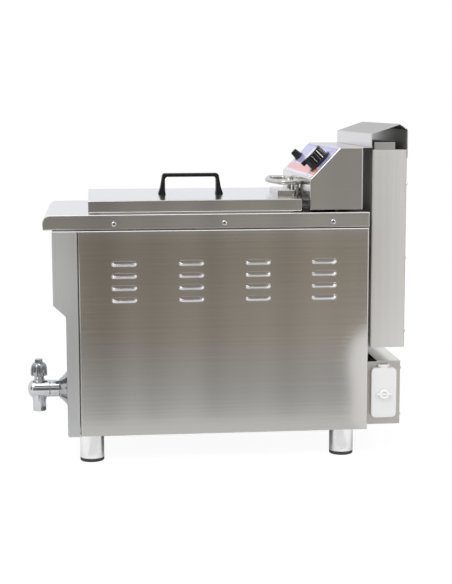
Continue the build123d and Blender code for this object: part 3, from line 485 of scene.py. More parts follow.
def prism(bm, outline, place, low, high, edge=0.0):
    levels = [(low, 0), (high, 0)]
    if edge:
        levels = [(low, edge), (low + edge, 0), (high - edge, 0), (high, edge)]
    middle = sum((Vector(point) for point in outline), Vector((0, 0))) / len(outline)
    rings = []
    for height, inset in levels:
        ring = []
        for point in outline:
            away = Vector(point) - middle
            spot = middle + away * max(0.0, 1 - inset / away.length)
            ring.append(bm.verts.new(place @ Vector((mm(spot.x), mm(spot.y), mm(height)))))
        rings.append(ring)
    for lower, upper in zip(rings, rings[1:]):
        bridge(bm, lower, upper, len(outline))
    bm.faces.new(rings[0])
    bm.faces.new(rings[-1])


def roundedBox(wide, tall, corner, steps):
    points = []
    for index, (x, y) in enumerate(((1, 1), (-1, 1), (-1, -1), (1, -1))):
        middle = (x * (wide / 2 - corner), y * (tall / 2 - corner))
        points += arc(middle, (corner, corner), 90 * index, 90 * index + 90, steps)
    return points


def polygon(count, radius):
    spots = [2 * math.pi * index / count for index in range(count)]
    return [(radius * math.cos(spot), radius * math.sin(spot)) for spot in spots]


# A pressed panel on either side, its louvres open at the top
louvredPanel = {
    "edgeRadius": 2.6,
    "edgeSteps": 5,
    "flange": 13.0,
    "sheet": 1.0,
    "sharpAngle": 30,
    "columns": 4,
    "rows": 4,
    "firstColumn": 74.6,
    "columnPitch": 110.0,
    "firstRow": 51.6,
    "rowPitch": 19.8,
    "slot": 4.2,
    "length": 41.5,
    "depth": 4.5,
    # painted highlight on the louvre lips: it reaches full strength over this rise out of the face,
    # in this tint
    "highlightRise": 1.2,
    "highlightTint": (0.86, 0.86, 0.87),
    "endPower": 8,
    "domePower": 6,
    "curl": 0.7,
    "curlShoulder": 0.7,
    "curlWidth": 1.6,
    "endSteps": 28,
    "lipSteps": 7,
    "baffleGap": 0.02,
    "baffleSheet": 0.8,
    "baffleMargin": 6.0,
}


# The panels' sheet, with a painted highlight where a louvre stands out of it
def pressedSheetLipHighlight():
    material = brushedSteel("pressedSheetLipHighlight", *sheets["sheetAlong"])
    parts = addNode(material, "SeparateXYZ")
    feed(material, objectPlace(material), parts.inputs[0])
    width = computed(material, "Math", "ABSOLUTE", parts.outputs["X"])["Value"]
    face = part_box("right_side_panel")[1].x - mm(louvredPanel["depth"])
    # painted highlight: the further the sheet stands out of the face, the paler it is
    lipHighlight = ranged(material, width, face, face + mm(louvredPanel["highlightRise"]))
    overlaid(material, "Base Color", lipHighlight, (*louvredPanel["highlightTint"], 1))
    return material


def louvre(bm, side, face, middle, mouth):
    half = mm(louvredPanel["length"] / 2)
    depth = mm(louvredPanel["depth"])
    slot = mm(louvredPanel["slot"])
    curl = mm(louvredPanel["curl"])
    width = mm(louvredPanel["curlWidth"])
    count = louvredPanel["endSteps"]
    stations = []
    for index in range(count + 1):
        turn = math.pi * index / count
        bend = math.cos(turn)
        share = abs(bend) ** (2 / louvredPanel["endPower"])
        swell = math.sin(turn) if 0 < index < count else 0.0
        dome = 1 - share ** louvredPanel["domePower"]
        stations.append((middle + math.copysign(half * share, bend), swell, dome))
    ends = [bm.verts.new((side * face, stations[end][0], mouth)) for end in (0, -1)]

    def hoodRow(reach, rise):
        made = []
        for along, swell, _ in stations[1:-1]:
            spot = (side * (face + reach * swell), along, mouth + rise * swell)
            made.append(bm.verts.new(spot))
        return [ends[0], *made, ends[1]]

    def lipRow(angle):
        made = []
        for along, swell, dome in stations[1:-1]:
            edge = slot * swell * (1 - dome)
            rise = edge - (edge + depth * swell) * math.sin(angle)
            reach = face + depth * dome * math.cos(angle)
            made.append(bm.verts.new((side * reach, along, mouth + rise)))
        return [ends[0], *made, ends[1]]

    def skin(rows):
        for lower, upper in zip(rows, rows[1:]):
            for index in range(count):
                ring = (lower[index], lower[index + 1], upper[index + 1], upper[index])
                corners = list(dict.fromkeys(ring))
                if len(corners) > 2:
                    bm.faces.new(corners)

    steps = louvredPanel["lipSteps"]
    lip = [lipRow(math.pi / 2 * (1 - step / steps)) for step in range(steps + 1)]
    shoulder = louvredPanel["curlShoulder"] * curl
    hood = [hoodRow(0, slot + width), hoodRow(shoulder, slot + width / 2), hoodRow(curl, slot)]
    skin(lip)
    skin(hood)
    outline = []
    for line in (lip[0], hood[0]):
        for first, second in zip(line, line[1:]):
            outline.append(bm.edges.get((first, second)) or bm.edges.new((first, second)))
    return outline


def buildSidePanel(node, name, side):
    low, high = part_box(node)
    reach = high.x if side > 0 else -low.x
    face = reach - mm(louvredPanel["depth"])
    radius = mm(louvredPanel["edgeRadius"])
    bm = bmesh.new()

    def border(x, grow):
        y = (low.y + radius - grow, high.y - radius + grow)
        z = (low.z + radius - grow, high.z - radius + grow)
        corners = ((y[0], z[0]), (y[1], z[0]), (y[1], z[1]), (y[0], z[1]))
        return [bm.verts.new((side * x, *corner)) for corner in corners]

    loops = []
    for inward, outward in arc((0, 0), (radius, radius), 0, 90, louvredPanel["edgeSteps"]):
        loops.append(border(face - radius + inward, outward))
    loops.append(border(face - mm(louvredPanel["flange"]), radius))
    for outer, inner in zip(loops, loops[1:]):
        bridge(bm, outer, inner, len(outer))
    edges = [bm.edges.get(pair) for pair in zip(loops[0], loops[0][1:] + loops[0][:1])]
    for column in range(louvredPanel["columns"]):
        along = louvredPanel["firstColumn"] + column * louvredPanel["columnPitch"]
        for line in range(louvredPanel["rows"]):
            drop = louvredPanel["firstRow"] + louvredPanel["slot"] + line * louvredPanel["rowPitch"]
            edges += louvre(bm, side, face, low.y + mm(along), high.z - mm(drop))
    bmesh.ops.triangle_fill(bm, use_beauty=True, edges=edges, normal=(side, 0, 0))
    angle = louvredPanel["sharpAngle"]
    piece = addPiece(name, bm, "pressedSheetLipHighlight", "body", angle)
    if sum(facet.normal.x * facet.area for facet in piece.data.polygons) * side < 0:
        piece.data.flip_normals()
    solid = piece.modifiers.new("sheet", "SOLIDIFY")
    solid.thickness = mm(louvredPanel["sheet"])
    solid.offset = -1.0
    even = piece.modifiers.new("evenShading", "WEIGHTED_NORMAL")
    even.keep_sharp = True
    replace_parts(piece, node)


# Plain sheets close behind the louvres
def buildBaffles():
    low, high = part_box("right_side_panel")
    setback = louvredPanel["depth"] + louvredPanel["sheet"] + louvredPanel["baffleGap"]
    margin = louvredPanel["baffleMargin"]
    reach = louvredPanel["length"] / 2 + margin
    run = (louvredPanel["columns"] - 1) * louvredPanel["columnPitch"]
    first = low.y + mm(louvredPanel["firstColumn"] - reach)
    last = low.y + mm(louvredPanel["firstColumn"] + run + reach)
    top = high.z - mm(louvredPanel["firstRow"] - margin)
    bottom = high.z - mm(louvredPanel["firstRow"] + louvredPanel["rows"] * louvredPanel["rowPitch"])
    size = Vector((mm(louvredPanel["baffleSheet"]), last - first, top - bottom))
    out = high.x - mm(setback) - size.x / 2
    bm = bmesh.new()
    for side in (1, -1):
        middle = Vector((side * out, (first + last) / 2, (top + bottom) / 2))
        bmesh.ops.create_cube(bm, size=1.0, matrix=Matrix.LocRotScale(middle, None, size))
    addPiece("louvreBaffles", bm, "sheetAlong", "body")


finishes["pressedSheetLipHighlight"] = pressedSheetLipHighlight()
buildSidePanel("right_side_panel", "rightLouvredPanel", 1)
buildSidePanel("left_side_panel", "leftLouvredPanel", -1)
buildBaffles()
print("side panels pressed")


# The drain tap, turned about its barrel and its spout
tap = {
    "barrel": 15.5,
    "wallGap": 1.0,
    "neck": 13.2,
    "edge": 0.8,
    "lip": 0.5,
    "sleeve": 15.0,
    "sleeveRange": (17.0, 34.0),
    "sleeveEdge": 0.7,
    "sleeveGap": 0.4,
    "noseLength": 10.0,
    "spout": 11.75,
    "bore": 8.5,
    "boreDepth": 28.0,
    "collar": 12.6,
    "collarReach": 18.5,
    "bonnet": 8.75,
    "bonnetFoot": ((1.2, 1.6), (0.0, 2.2)),  # wider than the bonnet, above the barrel
    "stemHole": 4.2,
    "stemHoleDepth": 6.0,
    "rosette": 32.0,
    "rosetteEdge": 3.0,
    "rosetteStep": (0.6, 0.4),
    "rosetteDepth": 17.0,
    "rosetteThroat": 17.0,
    "rosetteBack": (1.2, 0.2),
    "rosetteSlack": 0.15,
    "flarePower": 1.25,
    "flareSteps": 12,
    "flutes": 8,
    "fluteDepth": 0.17,
    "fluteFade": 0.3,
    "flutePower": 0.7,
    "bell": (  # inside the knob's rim, height
        (4.5, 1.2), (1.6, 0.0), (0.6, 0.5), (0.0, 2.4), (0.0, 10.0), (0.4, 13.2), (1.0, 16.0),
        (2.0, 18.8), (3.4, 21.0), (5.2, 22.7),
    ),
    "bellCrown": 7.6,
    "bellHollow": 1.2,
    "nut": 7.6,
    "nutHeight": 5.5,
    "nutSunk": 1.0,
    "nutEdge": 0.8,
}


def buildTap():
    low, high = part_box("tap_body")
    flareLow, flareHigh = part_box("tap_rosette")
    stemLow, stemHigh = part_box("tap_spindle")
    wall = flareHigh.y
    level = (flareLow.z + flareHigh.z) / 2
    spoutY = (stemLow.y + stemHigh.y) / 2
    forward = placed((0, wall, level), axisX, axisZ, -axisY)
    upward = Matrix.Translation((0, spoutY, level))
    front, bottom, top = inMm(wall - low.y), inMm(low.z - level), inMm(high.z - level)
    barrel, neck, edge, lip = (tap[key] for key in ("barrel", "neck", "edge", "lip"))
    start, end = tap["sleeveRange"]
    bm = bmesh.new()
    back = [(0, tap["wallGap"]), (neck, tap["wallGap"]), (neck, end)]
    back += [(barrel - edge, end), (barrel, end + edge)]
    nose = arc((0, front - tap["noseLength"]), (barrel, tap["noseLength"]), 0, 90, 10)
    lathe(bm, back + nose[:-1] + [(0, front)], forward, steps=48)
    sleeve, bevel, stop = tap["sleeve"], tap["sleeveEdge"], end - tap["sleeveGap"]
    ring = [(0, start), (sleeve - bevel, start), (sleeve, start + bevel)]
    ring += [(sleeve, stop - bevel), (sleeve - bevel, stop), (0, stop)]
    lathe(bm, ring, forward, steps=48)
    collar, drop, bore = tap["collar"], -tap["collarReach"], tap["bore"]
    spout = [(0, 0), (collar, 0), (collar, drop), (tap["spout"], drop - lip)]
    spout += arc((tap["spout"] - edge, bottom + edge), (edge, edge), 0, -90, 4)
    spout += [(bore + lip, bottom), (bore, bottom + lip)]
    spout += [(bore, bottom + tap["boreDepth"]), (0, bottom + tap["boreDepth"])]
    lathe(bm, spout, upward)
    bonnet, hole, floor = tap["bonnet"], tap["stemHole"], top - tap["stemHoleDepth"]
    stem = [(0, 0), (bonnet + tap["bonnetFoot"][0][0], 0)]
    stem += [(bonnet + wider, barrel + above) for wider, above in tap["bonnetFoot"]]
    stem += [(bonnet, top - edge), (bonnet - edge, top), (hole, top), (hole, floor), (0, floor)]
    lathe(bm, stem, upward)
    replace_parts(addPiece("tapBarrel", bm, "chrome", "body"), "tap_body")

    bm = bmesh.new()
    rim, throat = tap["rosette"], tap["rosetteThroat"]
    depth, rise = tap["rosetteDepth"], tap["rosetteEdge"]
    (inset, hollow), (step, fall) = tap["rosetteBack"], tap["rosetteStep"]
    flare = [(throat - inset, hollow), (rim - lip, 0.0), (rim, lip), (rim, rise - fall)]
    for index in range(tap["flareSteps"] + 1):
        climb = index / tap["flareSteps"]
        wider = (rim - step - throat) * (1 - climb) ** tap["flarePower"]
        flare.append((throat + wider, rise + climb * (depth - rise)))
    inside = barrel + tap["rosetteSlack"]
    lathe(bm, flare + [(inside, depth), (inside, hollow)], forward, steps=56)
    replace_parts(addPiece("tapRosette", bm, "knobChromePaintedShade", "body"), "tap_rosette")

    knobLow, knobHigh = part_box("tap_knob")
    handle = Matrix.Translation((0, spoutY, knobLow.z))
    tall = inMm(knobHigh.z - knobLow.z) - tap["nutHeight"]
    wide = inMm(knobHigh.x - knobLow.x) / 2

    def flutes(angle, height):
        fade = min(1.0, max(0.0, (tall - height) / (tap["fluteFade"] * tall)))
        groove = max(0.0, math.cos(tap["flutes"] * angle)) ** tap["flutePower"]
        return 1 - tap["fluteDepth"] * fade * groove

    bm = bmesh.new()
    bell = [(0, tap["bellHollow"])] + [(wide - inset, height) for inset, height in tap["bell"]]
    bell += [(wide - tap["bellCrown"], tall), (0, tall)]
    lathe(bm, bell, handle, steps=96, ripple=flutes)
    levels = (tall - tap["nutSunk"], tall + tap["nutHeight"])
    prism(bm, polygon(6, tap["nut"]), handle, *levels, tap["nutEdge"])
    knob = addPiece("tapKnob", bm, "knobChromePaintedShade", "tap_handle", angle=40)
    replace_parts(knob, "tap_knob")


buildTap()
print("tap turned")


# Both knobs: profiles of (radius, height above their base)
dial = {
    "base": 1.3,
    "height": 22.0,
    "profile": (
        (0, 0), (21.6, 0), (22.0, 0.4), (22.0, 2.0), (21.0, 3.0), (18.8, 3.0), (18.5, 3.6),
        (18.5, 4.0), (18.3, 20.2), (18.3, 20.6), (17.7, 21.5), (16.9, 22.0), (13.9, 22.0),
        (13.7, 21.5), (0, 21.5),
    ),
    "steps": 140,
    "ribs": 14,
    "ribRange": (3.2, 21.6),
    "ribDepth": 0.07,
    "ribPower": 10,
    "inlay": ((0, 21.5), (13.5, 21.5), (13.5, 21.9), (13.1, 22.2), (0, 22.3)),
    "nose": ((3.8, -10.0), (-3.8, -10.0), (-3.8, -22.3), (-2.2, -24.3), (2.2, -24.3), (3.8, -22.3)),
    "noseLevels": (14.0, 21.9),
    "noseEdge": 0.6,
    "pointer": {"half": 0.8, "start": 1.5, "reach": 12.5, "thick": 0.5, "edge": 0.15},
}
smallKnob = {
    "base": 1.3,
    "height": 16.0,
    "profile": (
        (0, 0), (8.3, 0), (8.6, 0.3), (8.6, 2.2), (8.1, 2.8), (7.4, 3.4), (7.35, 3.8),
        (6.05, 14.6), (6.0, 15.0), (5.7, 15.6), (5.0, 16.0), (0, 16.0),
    ),
    "steps": 80,
    "ribs": 10,
    "ribRange": (3.2, 15.4),
    "ribDepth": 0.09,
    "ribPower": 8,
    "pointer": {"half": 0.6, "start": 0.5, "reach": 5.0, "thick": 0.4, "edge": 0.12},
}


def onSlope(spot, above=0.0):
    return placed(spot + slopeOut * mm(above), axisX, slopeUp, slopeOut)


def knobGrip(bm, knob, place):
    first, last = knob["ribRange"]

    def ribs(angle, height):
        if not first < height < last:
            return 1.0
        wave = 0.5 - 0.5 * math.cos(knob["ribs"] * angle)
        return 1 - knob["ribDepth"] * wave ** knob["ribPower"]

    lathe(bm, knob["profile"], place, knob["steps"], ripple=ribs)


def addPointer(name, knob, place, body):
    half, start, reach, thick, edge = knob["pointer"].values()
    outline = [(half, -start), (-half, -start), (-half, -reach), (half, -reach)]
    bm = bmesh.new()
    prism(bm, outline, place, knob["height"], knob["height"] + thick, edge)
    addPiece(name, bm, "whitePrint", body)


def buildKnobs():
    place = onSlope(dialPlace, dial["base"])
    bm = bmesh.new()
    knobGrip(bm, dial, place)
    prism(bm, dial["nose"], place, *dial["noseLevels"], dial["noseEdge"])
    grip = addPiece("dialGrip", bm, "glossBlack", "thermostat_dial", angle=40)
    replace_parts(grip, "thermostat_knob")
    bm = bmesh.new()
    lathe(bm, dial["inlay"], place, steps=64)
    addPiece("dialInlay", bm, "silverInlay", "thermostat_dial")
    addPointer("dialPointer", dial, place, "thermostat_dial")

    place = onSlope(smallPlace, smallKnob["base"])
    bm = bmesh.new()
    knobGrip(bm, smallKnob, place)
    grip = addPiece("smallKnobGrip", bm, "glossBlack", "ignition_dial", angle=40)
    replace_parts(grip, "ignition_knob")
    addPointer("smallKnobPointer", smallKnob, place, "ignition_dial")


panelMarks = {
    "levels": (0.5, 0.58),
    "zero": -90,
    "turn": 280,
    "marks": 21,
    "majorEvery": 5,
    "inner": 24.0,
    "minor": (1.8, 0.2),  # length, half width
    "major": (3.2, 0.35),
    "ring": (23.2, 23.6),
    "numbers": ("0", "50", "100", "150", "200"),
    "numberRadius": 30.5,
    "numberSize": 4.2,
    "smallDots": (0, 45, 90),
    "dotRadius": 12.0,
    "dotSize": 1.1,
}


def buildPanelMarks():
    place = onSlope(dialPlace)
    low, high = panelMarks["levels"]
    zero, turn = panelMarks["zero"], panelMarks["turn"]
    bm = bmesh.new()
    for index in range(panelMarks["marks"]):
        angle = zero - turn * index / (panelMarks["marks"] - 1)
        size = "minor" if index % panelMarks["majorEvery"] else "major"
        (length, half), inner = panelMarks[size], panelMarks["inner"]
        outer = inner + length
        spoke = place @ Matrix.Rotation(math.radians(angle), 4, "Z")
        prism(bm, [(inner, -half), (outer, -half), (outer, half), (inner, half)], spoke, low, high)
    inner, outer = panelMarks["ring"]
    ring = [(inner, low), (inner, high), (outer, high), (outer, low), (inner, low)]
    lathe(bm, ring, place, steps=80)
    addPiece("dialScale", bm, "inkPrint", "body")

    bm = bmesh.new()
    size, shift = panelMarks["dotSize"], Matrix.Translation((mm(panelMarks["dotRadius"]), 0, 0))
    for angle in panelMarks["smallDots"]:
        spoke = onSlope(smallPlace) @ Matrix.Rotation(math.radians(zero - angle), 4, "Z")
        lathe(bm, [(0, low), (size, low), (size, high), (0, high)], spoke @ shift, steps=20)
    addPiece("knobDots", bm, "inkPrint", "body")

    reach, middle = mm(panelMarks["numberRadius"]), mm((low + high) / 2)
    for index, text in enumerate(panelMarks["numbers"]):
        angle = math.radians(zero - turn * index / (len(panelMarks["numbers"]) - 1))
        letters = bpy.data.curves.new("number" + text, "FONT")
        letters.body = text
        letters.size = mm(panelMarks["numberSize"])
        letters.align_x = "CENTER"
        letters.align_y = "CENTER"
        letters.extrude = mm(high - low) / 2
        source = bpy.data.objects.new("numberSource", letters)
        mesh = bpy.data.meshes.new_from_object(source)
        bpy.data.objects.remove(source)
        spot = (reach * math.cos(angle), reach * math.sin(angle), middle)
        mesh.transform(place @ Matrix.Translation(spot))
        mesh.materials.clear()
        placePiece("dialNumber" + text, mesh, "inkPrint", "body")


buildKnobs()
buildPanelMarks()
print("knobs and panel print placed")


basket = {
    "wire": 1.2,
    "wireSides": 6,
    "pitch": 8.0,
    "layer": 0.4,
    "rim": 2.9,
    "rimCorner": 8.0,
    "rod": 4.0,
    "rodBend": 9.0,
    "rodX": 46.0,
    "ringHalf": 80.0,
    "ringShoulder": 32.0,
    "ringTip": 14.0,
    "ringReach": 43.5,
    "rodLevel": 31.0,
}


def spaced(low, high, pitch):
    count = max(1, round((high - low) / pitch))
    return [low + (high - low) * index / count for index in range(count + 1)]


# A sheet of welded mesh: wires one way on one side, the other way on the other
def weldedMesh(bm, place, wide, tall):
    radius, layer = mm(basket["wire"] / 2), mm(basket["layer"])
    across = inMm(wide) / 2 - basket["wire"] / 2
    up = inMm(tall) / 2 - basket["wire"] / 2
    wires = []
    for along in spaced(-across, across, basket["pitch"]):
        wires.append([Vector((mm(along), mm(end), layer)) for end in (-up, up)])
    for along in spaced(-up, up, basket["pitch"]):
        wires.append([Vector((mm(end), mm(along), -layer)) for end in (-across, across)])
    for wire in wires:
        tube(bm, [place @ end for end in wire], radius, basket["wireSides"])


def buildBasket():
    low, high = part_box("basket_floor")
    sheet = (high.z - low.z) / 2
    size = high - low
    bm = bmesh.new()
    weldedMesh(bm, Matrix.Translation((low + high) / 2), size.x, size.y)
    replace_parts(addPiece("basketFloorMesh", bm, "wire", "basket"), "basket_floor")

    low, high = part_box("basket_sides")
    middle, size = (low + high) / 2, high - low
    bm = bmesh.new()
    for x, side in ((high.x - sheet, 1), (low.x + sheet, -1)):
        place = placed((x, middle.y, middle.z), axisY * side, axisZ, axisX * side)
        weldedMesh(bm, place, size.y, size.z)
    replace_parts(addPiece("basketSideMesh", bm, "wire", "basket"), "basket_sides")

    low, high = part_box("basket_ends")
    middle, size = (low + high) / 2, high - low
    bm = bmesh.new()
    for y, side in ((low.y + sheet, 1), (high.y - sheet, -1)):
        place = placed((middle.x, y, middle.z), axisX * side, axisZ, -axisY * side)
        weldedMesh(bm, place, size.x, size.z)
    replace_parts(addPiece("basketEndMesh", bm, "wire", "basket"), "basket_ends")

    low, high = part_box("basket_rim")
    middle, size = (low + high) / 2, high - low
    wide, tall = (inMm(side) - 2 * basket["rim"] for side in (size.x, size.y))
    outline = roundedBox(wide, tall, basket["rimCorner"], steps=8)
    path = [Vector((middle.x + mm(x), middle.y + mm(y), middle.z)) for x, y in outline]
    bm = bmesh.new()
    tube(bm, path, mm(basket["rim"]), sides=14, closed=True)
    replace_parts(addPiece("basketRimRod", bm, "wire", "basket"), "basket_rim")

    front = high.y + mm(basket["rod"])
    low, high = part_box("basket_handle")
    radius = mm(basket["rod"])
    rear, top = high.y - radius, high.z - radius
    level = top - mm(basket["rodLevel"])
    x, half, tip = mm(basket["rodX"]), mm(basket["ringHalf"]), mm(basket["ringTip"])
    points = [(x, front, low.z), (x, front, level), (x, rear, level), (x, rear, top)]
    points += [(half, rear, top), (half, rear - mm(basket["ringShoulder"]), top)]
    points.append((tip, rear - mm(basket["ringReach"]), top))
    points += [(-spot[0], spot[1], spot[2]) for spot in reversed(points)]
    bm = bmesh.new()
    tube(bm, bentPath(points, mm(basket["rodBend"]), steps=8), radius, sides=18)
    handle = addPiece("basketRodHandle", bm, "wire", "basket", angle=50)
    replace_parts(handle, "basket_handle")


buildBasket()
print("basket welded")


latch = {
    "knob": 8.3,
    "height": 5.0,
    "edge": 0.3,
    "brow": 1.6,
    "crown": 1.4,
    "eye": 4.3,
    "eyeLip": (0.5, 0.6),
    "eyeTaper": 0.3,
    "eyeDepth": 3.4,
    "wing": 26.4,
    "wingWidth": 3.2,
    "wingLevels": (0.1, 3.9),
    "wingEdge": 0.5,
    "shaft": 2.5,
    "shaftSunk": (1.0, 0.2),
    "cam": (24.0, 6.4, 2.7),
}


def buildLatch():
    low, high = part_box("battery_latch")
    axis = Vector(joints["latch_turn"]["pos_m"])
    knob, tall, edge, crown = (latch[key] for key in ("knob", "height", "edge", "crown"))
    seat = high.x - mm(tall)
    place = placed((seat, axis.y, axis.z), axisY, axisZ, axisX)
    eye, floor = latch["eye"], tall - latch["eyeDepth"]
    wider, deeper = latch["eyeLip"]
    outline = [(0, 0), (knob - edge, 0), (knob, edge), (knob, tall - latch["brow"])]
    outline += arc((knob - crown, tall - crown), (crown, crown), 0, 90, 5)
    outline += [(eye + wider, tall), (eye, tall - deeper)]
    outline += [(eye - latch["eyeTaper"], floor), (0, floor)]
    bm = bmesh.new()
    lathe(bm, outline, place, steps=56)
    half, thick = latch["wing"] / 2, latch["wingWidth"] / 2
    wing = arc((half - thick, 0), (thick, thick), -90, 90, 6)
    wing += arc((thick - half, 0), (thick, thick), 90, 270, 6)
    prism(bm, wing, place, *latch["wingLevels"], latch["wingEdge"])
    back = inMm(low.x - seat)
    shaft, (inCam, inKnob) = latch["shaft"], latch["shaftSunk"]
    stem = [(0, back + inCam), (shaft, back + inCam), (shaft, inKnob), (0, inKnob)]
    lathe(bm, stem, place, steps=24)
    length, wide, thick = latch["cam"]
    x, y = wide / 2, length / 2
    prism(bm, [(x, y), (-x, y), (-x, -y), (x, -y)], place, back, back + thick, edge)
    knobPiece = addPiece("batteryLatchKnob", bm, "whitePlastic", "door_latch")
    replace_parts(knobPiece, "battery_latch")


pad = {
    "across": 292.0,
    "edge": 1.6,
    "hollow": 0.4,
    "hollowShare": (0.55, 0.62),
    "topEdge": (0.5, 0.6),
}


def buildLegPads():
    low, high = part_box("leg_pads")
    tall = inMm(high.z - low.z)
    radius = (inMm(high.x - low.x) - pad["across"]) / 2
    edge, hollow = pad["edge"], pad["hollow"]
    inner, outer = (radius * share for share in pad["hollowShare"])
    narrower, lower = pad["topEdge"]
    profile = [(0, hollow), (inner, hollow), (outer, 0)]
    profile += arc((radius - edge, edge), (edge, edge), -90, 0, 5)
    profile += [(radius, tall - lower), (radius - narrower, tall), (0, tall)]
    bm = bmesh.new()
    for x in (low.x + mm(radius), high.x - mm(radius)):
        for y in (low.y + mm(radius), high.y - mm(radius)):
            lathe(bm, profile, Matrix.Translation((x, y, low.z)), steps=48)
    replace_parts(addPiece("legPads", bm, "rubber", "body"), "leg_pads")


screws = {
    "head": 4.4,
    "height": 2.4,
    "sunk": 0.3,
    "domeTurn": 62,
    "recess": 1.9,
    "recessLip": 0.1,
    "recessFloor": ((0.8, 0.3), (0.0, 0.25)),  # shares of the hole's radius and the head's height
    "cross": (1.5, 0.45),
    "crossLevels": (0.3, 0.9),
    "worktopPlaces": (59.0, 239.0, 419.0),
    "worktopDrop": 15.0,
    "smallHead": 3.2,
    "smallHeight": 3.0,
    "rearInset": 5.5,
    "rearLevels": {"flue_rear_cover": (457.0, 333.0, 209.0), "burner_box": (146.0, 66.0)},
}


def screwHead(bm, place, radius, height):
    hole = radius * screws["recess"] / screws["head"]
    dome = arc((0, 0), (radius, height), 0, screws["domeTurn"], 6)
    profile = [(0, -screws["sunk"]), (radius, -screws["sunk"])] + dome
    profile.append((hole, dome[-1][1] - screws["recessLip"]))
    profile += [(hole * share, height * up) for share, up in screws["recessFloor"]]
    lathe(bm, profile, place, steps=28)


def buildScrews():
    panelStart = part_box("right_side_panel")[0].y
    low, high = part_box("worktop")
    long, short = screws["cross"]
    cross = [(long, short), (short, short), (short, long)]
    cross += [(-x, y) for x, y in reversed(cross)]
    cross += [(-x, -y) for x, y in cross]
    heads, recessShade = bmesh.new(), bmesh.new()
    for side, edge in ((1, high.x), (-1, low.x)):
        for along in screws["worktopPlaces"]:
            spot = (edge, panelStart + mm(along), high.z - mm(screws["worktopDrop"]))
            place = placed(spot, axisY * side, axisZ, axisX * side)
            screwHead(heads, place, screws["head"], screws["height"])
            # dark crosses: painted shade in the screws' recesses
            prism(recessShade, cross, place, *screws["crossLevels"])
    addPiece("worktopScrews", heads, "chrome", "body")
    addPiece("screwRecessShade", recessShade, "ironAndPaintedShade", "body")
    bm = bmesh.new()
    inset = mm(screws["rearInset"])
    for node, levels in screws["rearLevels"].items():
        low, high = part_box(node)
        for x in (low.x + inset, high.x - inset):
            for level in levels:
                place = placed((x, high.y, mm(level)), -axisX, axisZ, axisY)
                screwHead(bm, place, screws["smallHead"], screws["smallHeight"])
    addPiece("rearScrews", bm, "chrome", "body")


foldHighlights = {
    "panelRadius": 0.75,
    "panelInset": 2.0,
    "panelDrop": 3.1,
    "worktopRadius": 0.6,
    "worktopInset": 0.35,
    "worktopNose": 13.0,
    "lidRadius": 0.38,
    "lidDrop": 0.2,
}


def highlightRodPair(name, body, sides, ends, level, radius):
    bm = bmesh.new()
    for x in sides:
        tube(bm, [Vector((x, y, level)) for y in ends], radius)
    addPiece(name, bm, "foldHighlightPaint", body, angle=50)


# White rods along folded edges on both sides, as painted highlights: under the worktop's skirt, on
# the worktop and below the lid
def buildFoldHighlights():
    low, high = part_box("worktop")
    radius, inset = mm(foldHighlights["panelRadius"]), mm(foldHighlights["panelInset"])
    front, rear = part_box("front_fascia")[0].y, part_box("right_side_panel")[1].y
    sides, ends = (low.x + inset, high.x - inset), (front + 2 * radius, rear - radius)
    highlightRodPair("panelTopFoldHighlights", "body", sides, ends, low.z - mm(foldHighlights["panelDrop"]), radius)
    radius, inset = mm(foldHighlights["worktopRadius"]), mm(foldHighlights["worktopInset"])
    sides = (low.x + inset, high.x - inset)
    ends = (low.y + mm(foldHighlights["worktopNose"]), high.y - radius)
    highlightRodPair("worktopFoldHighlights", "body", sides, ends, high.z - inset, radius)
    low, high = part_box("lid_shell")
    radius = mm(foldHighlights["lidRadius"])
    sides, ends = (low.x, high.x), (low.y + 2 * radius, high.y - 2 * radius)
    highlightRodPair("lidFoldHighlights", "lid", sides, ends, low.z - mm(foldHighlights["lidDrop"]), radius)


buildLatch()
buildLegPads()
buildScrews()
buildFoldHighlights()
print("latch, pads, screws and folds placed")


studio = {
    "floorColour": (0.93, 0.93, 0.93, 1),
    "floorRoughness": 0.9,
    "floorSize": 12.0,
    "paperWhite": 1.045,
    "paperShare": 0.9,
    "mirroredShare": 0.04,
    "worldLight": 0.72,
    "worldWhite": 1.0,
    "softboxes": {
        "keySoftbox": {"place": (1.3, -0.9, 2.2), "size": 1.4, "power": 26.0},
        "fillSoftbox": {"place": (1.48, 1.73, 1.7), "size": 0.3, "power": 9.0},
    },
    "aim": (0, 0, 0.2),
    "cards": {
        "paperCard": {
            "corners": (
                (0.2, -0.26, 0.002), (0.45, -0.26, 0.002), (0.45, 0.27, 0.002), (0.2, 0.27, 0.002),
            ),
            "tone": (0.78, 0.78, 0.775),
        },
        "tapFlag": {
            "corners": (
                (0.35, -0.4, 0.0), (0.35, -0.28, 0.0), (0.35, -0.28, 0.22), (0.35, -0.4, 0.22),
            ),
            "tone": (0.18, 0.18, 0.19),
        },
        "frontCard": {
            "corners": ((0.05, -0.8, 0.0), (0.75, -0.8, 0.0), (0.75, -0.8, 0.4), (0.05, -0.8, 0.4)),
            "tone": (0.3, 0.3, 0.31),
        },
        "backCard": {
            "corners": (
                (-1.3, -0.7, 0.45), (-1.3, 0.9, 0.45), (-1.3, 0.9, 0.85), (-1.3, -0.7, 0.85),
            ),
            "tone": (0.945, 0.955, 1.01),
        },
        "hoodCard": {
            "corners": ((-1.0, 0.34, 0.6), (-1.0, 0.66, 0.6), (-1.0, 0.66, 0.9), (-1.0, 0.34, 0.9)),
            "tone": (0.6, 0.6, 0.615),
        },
    },
}
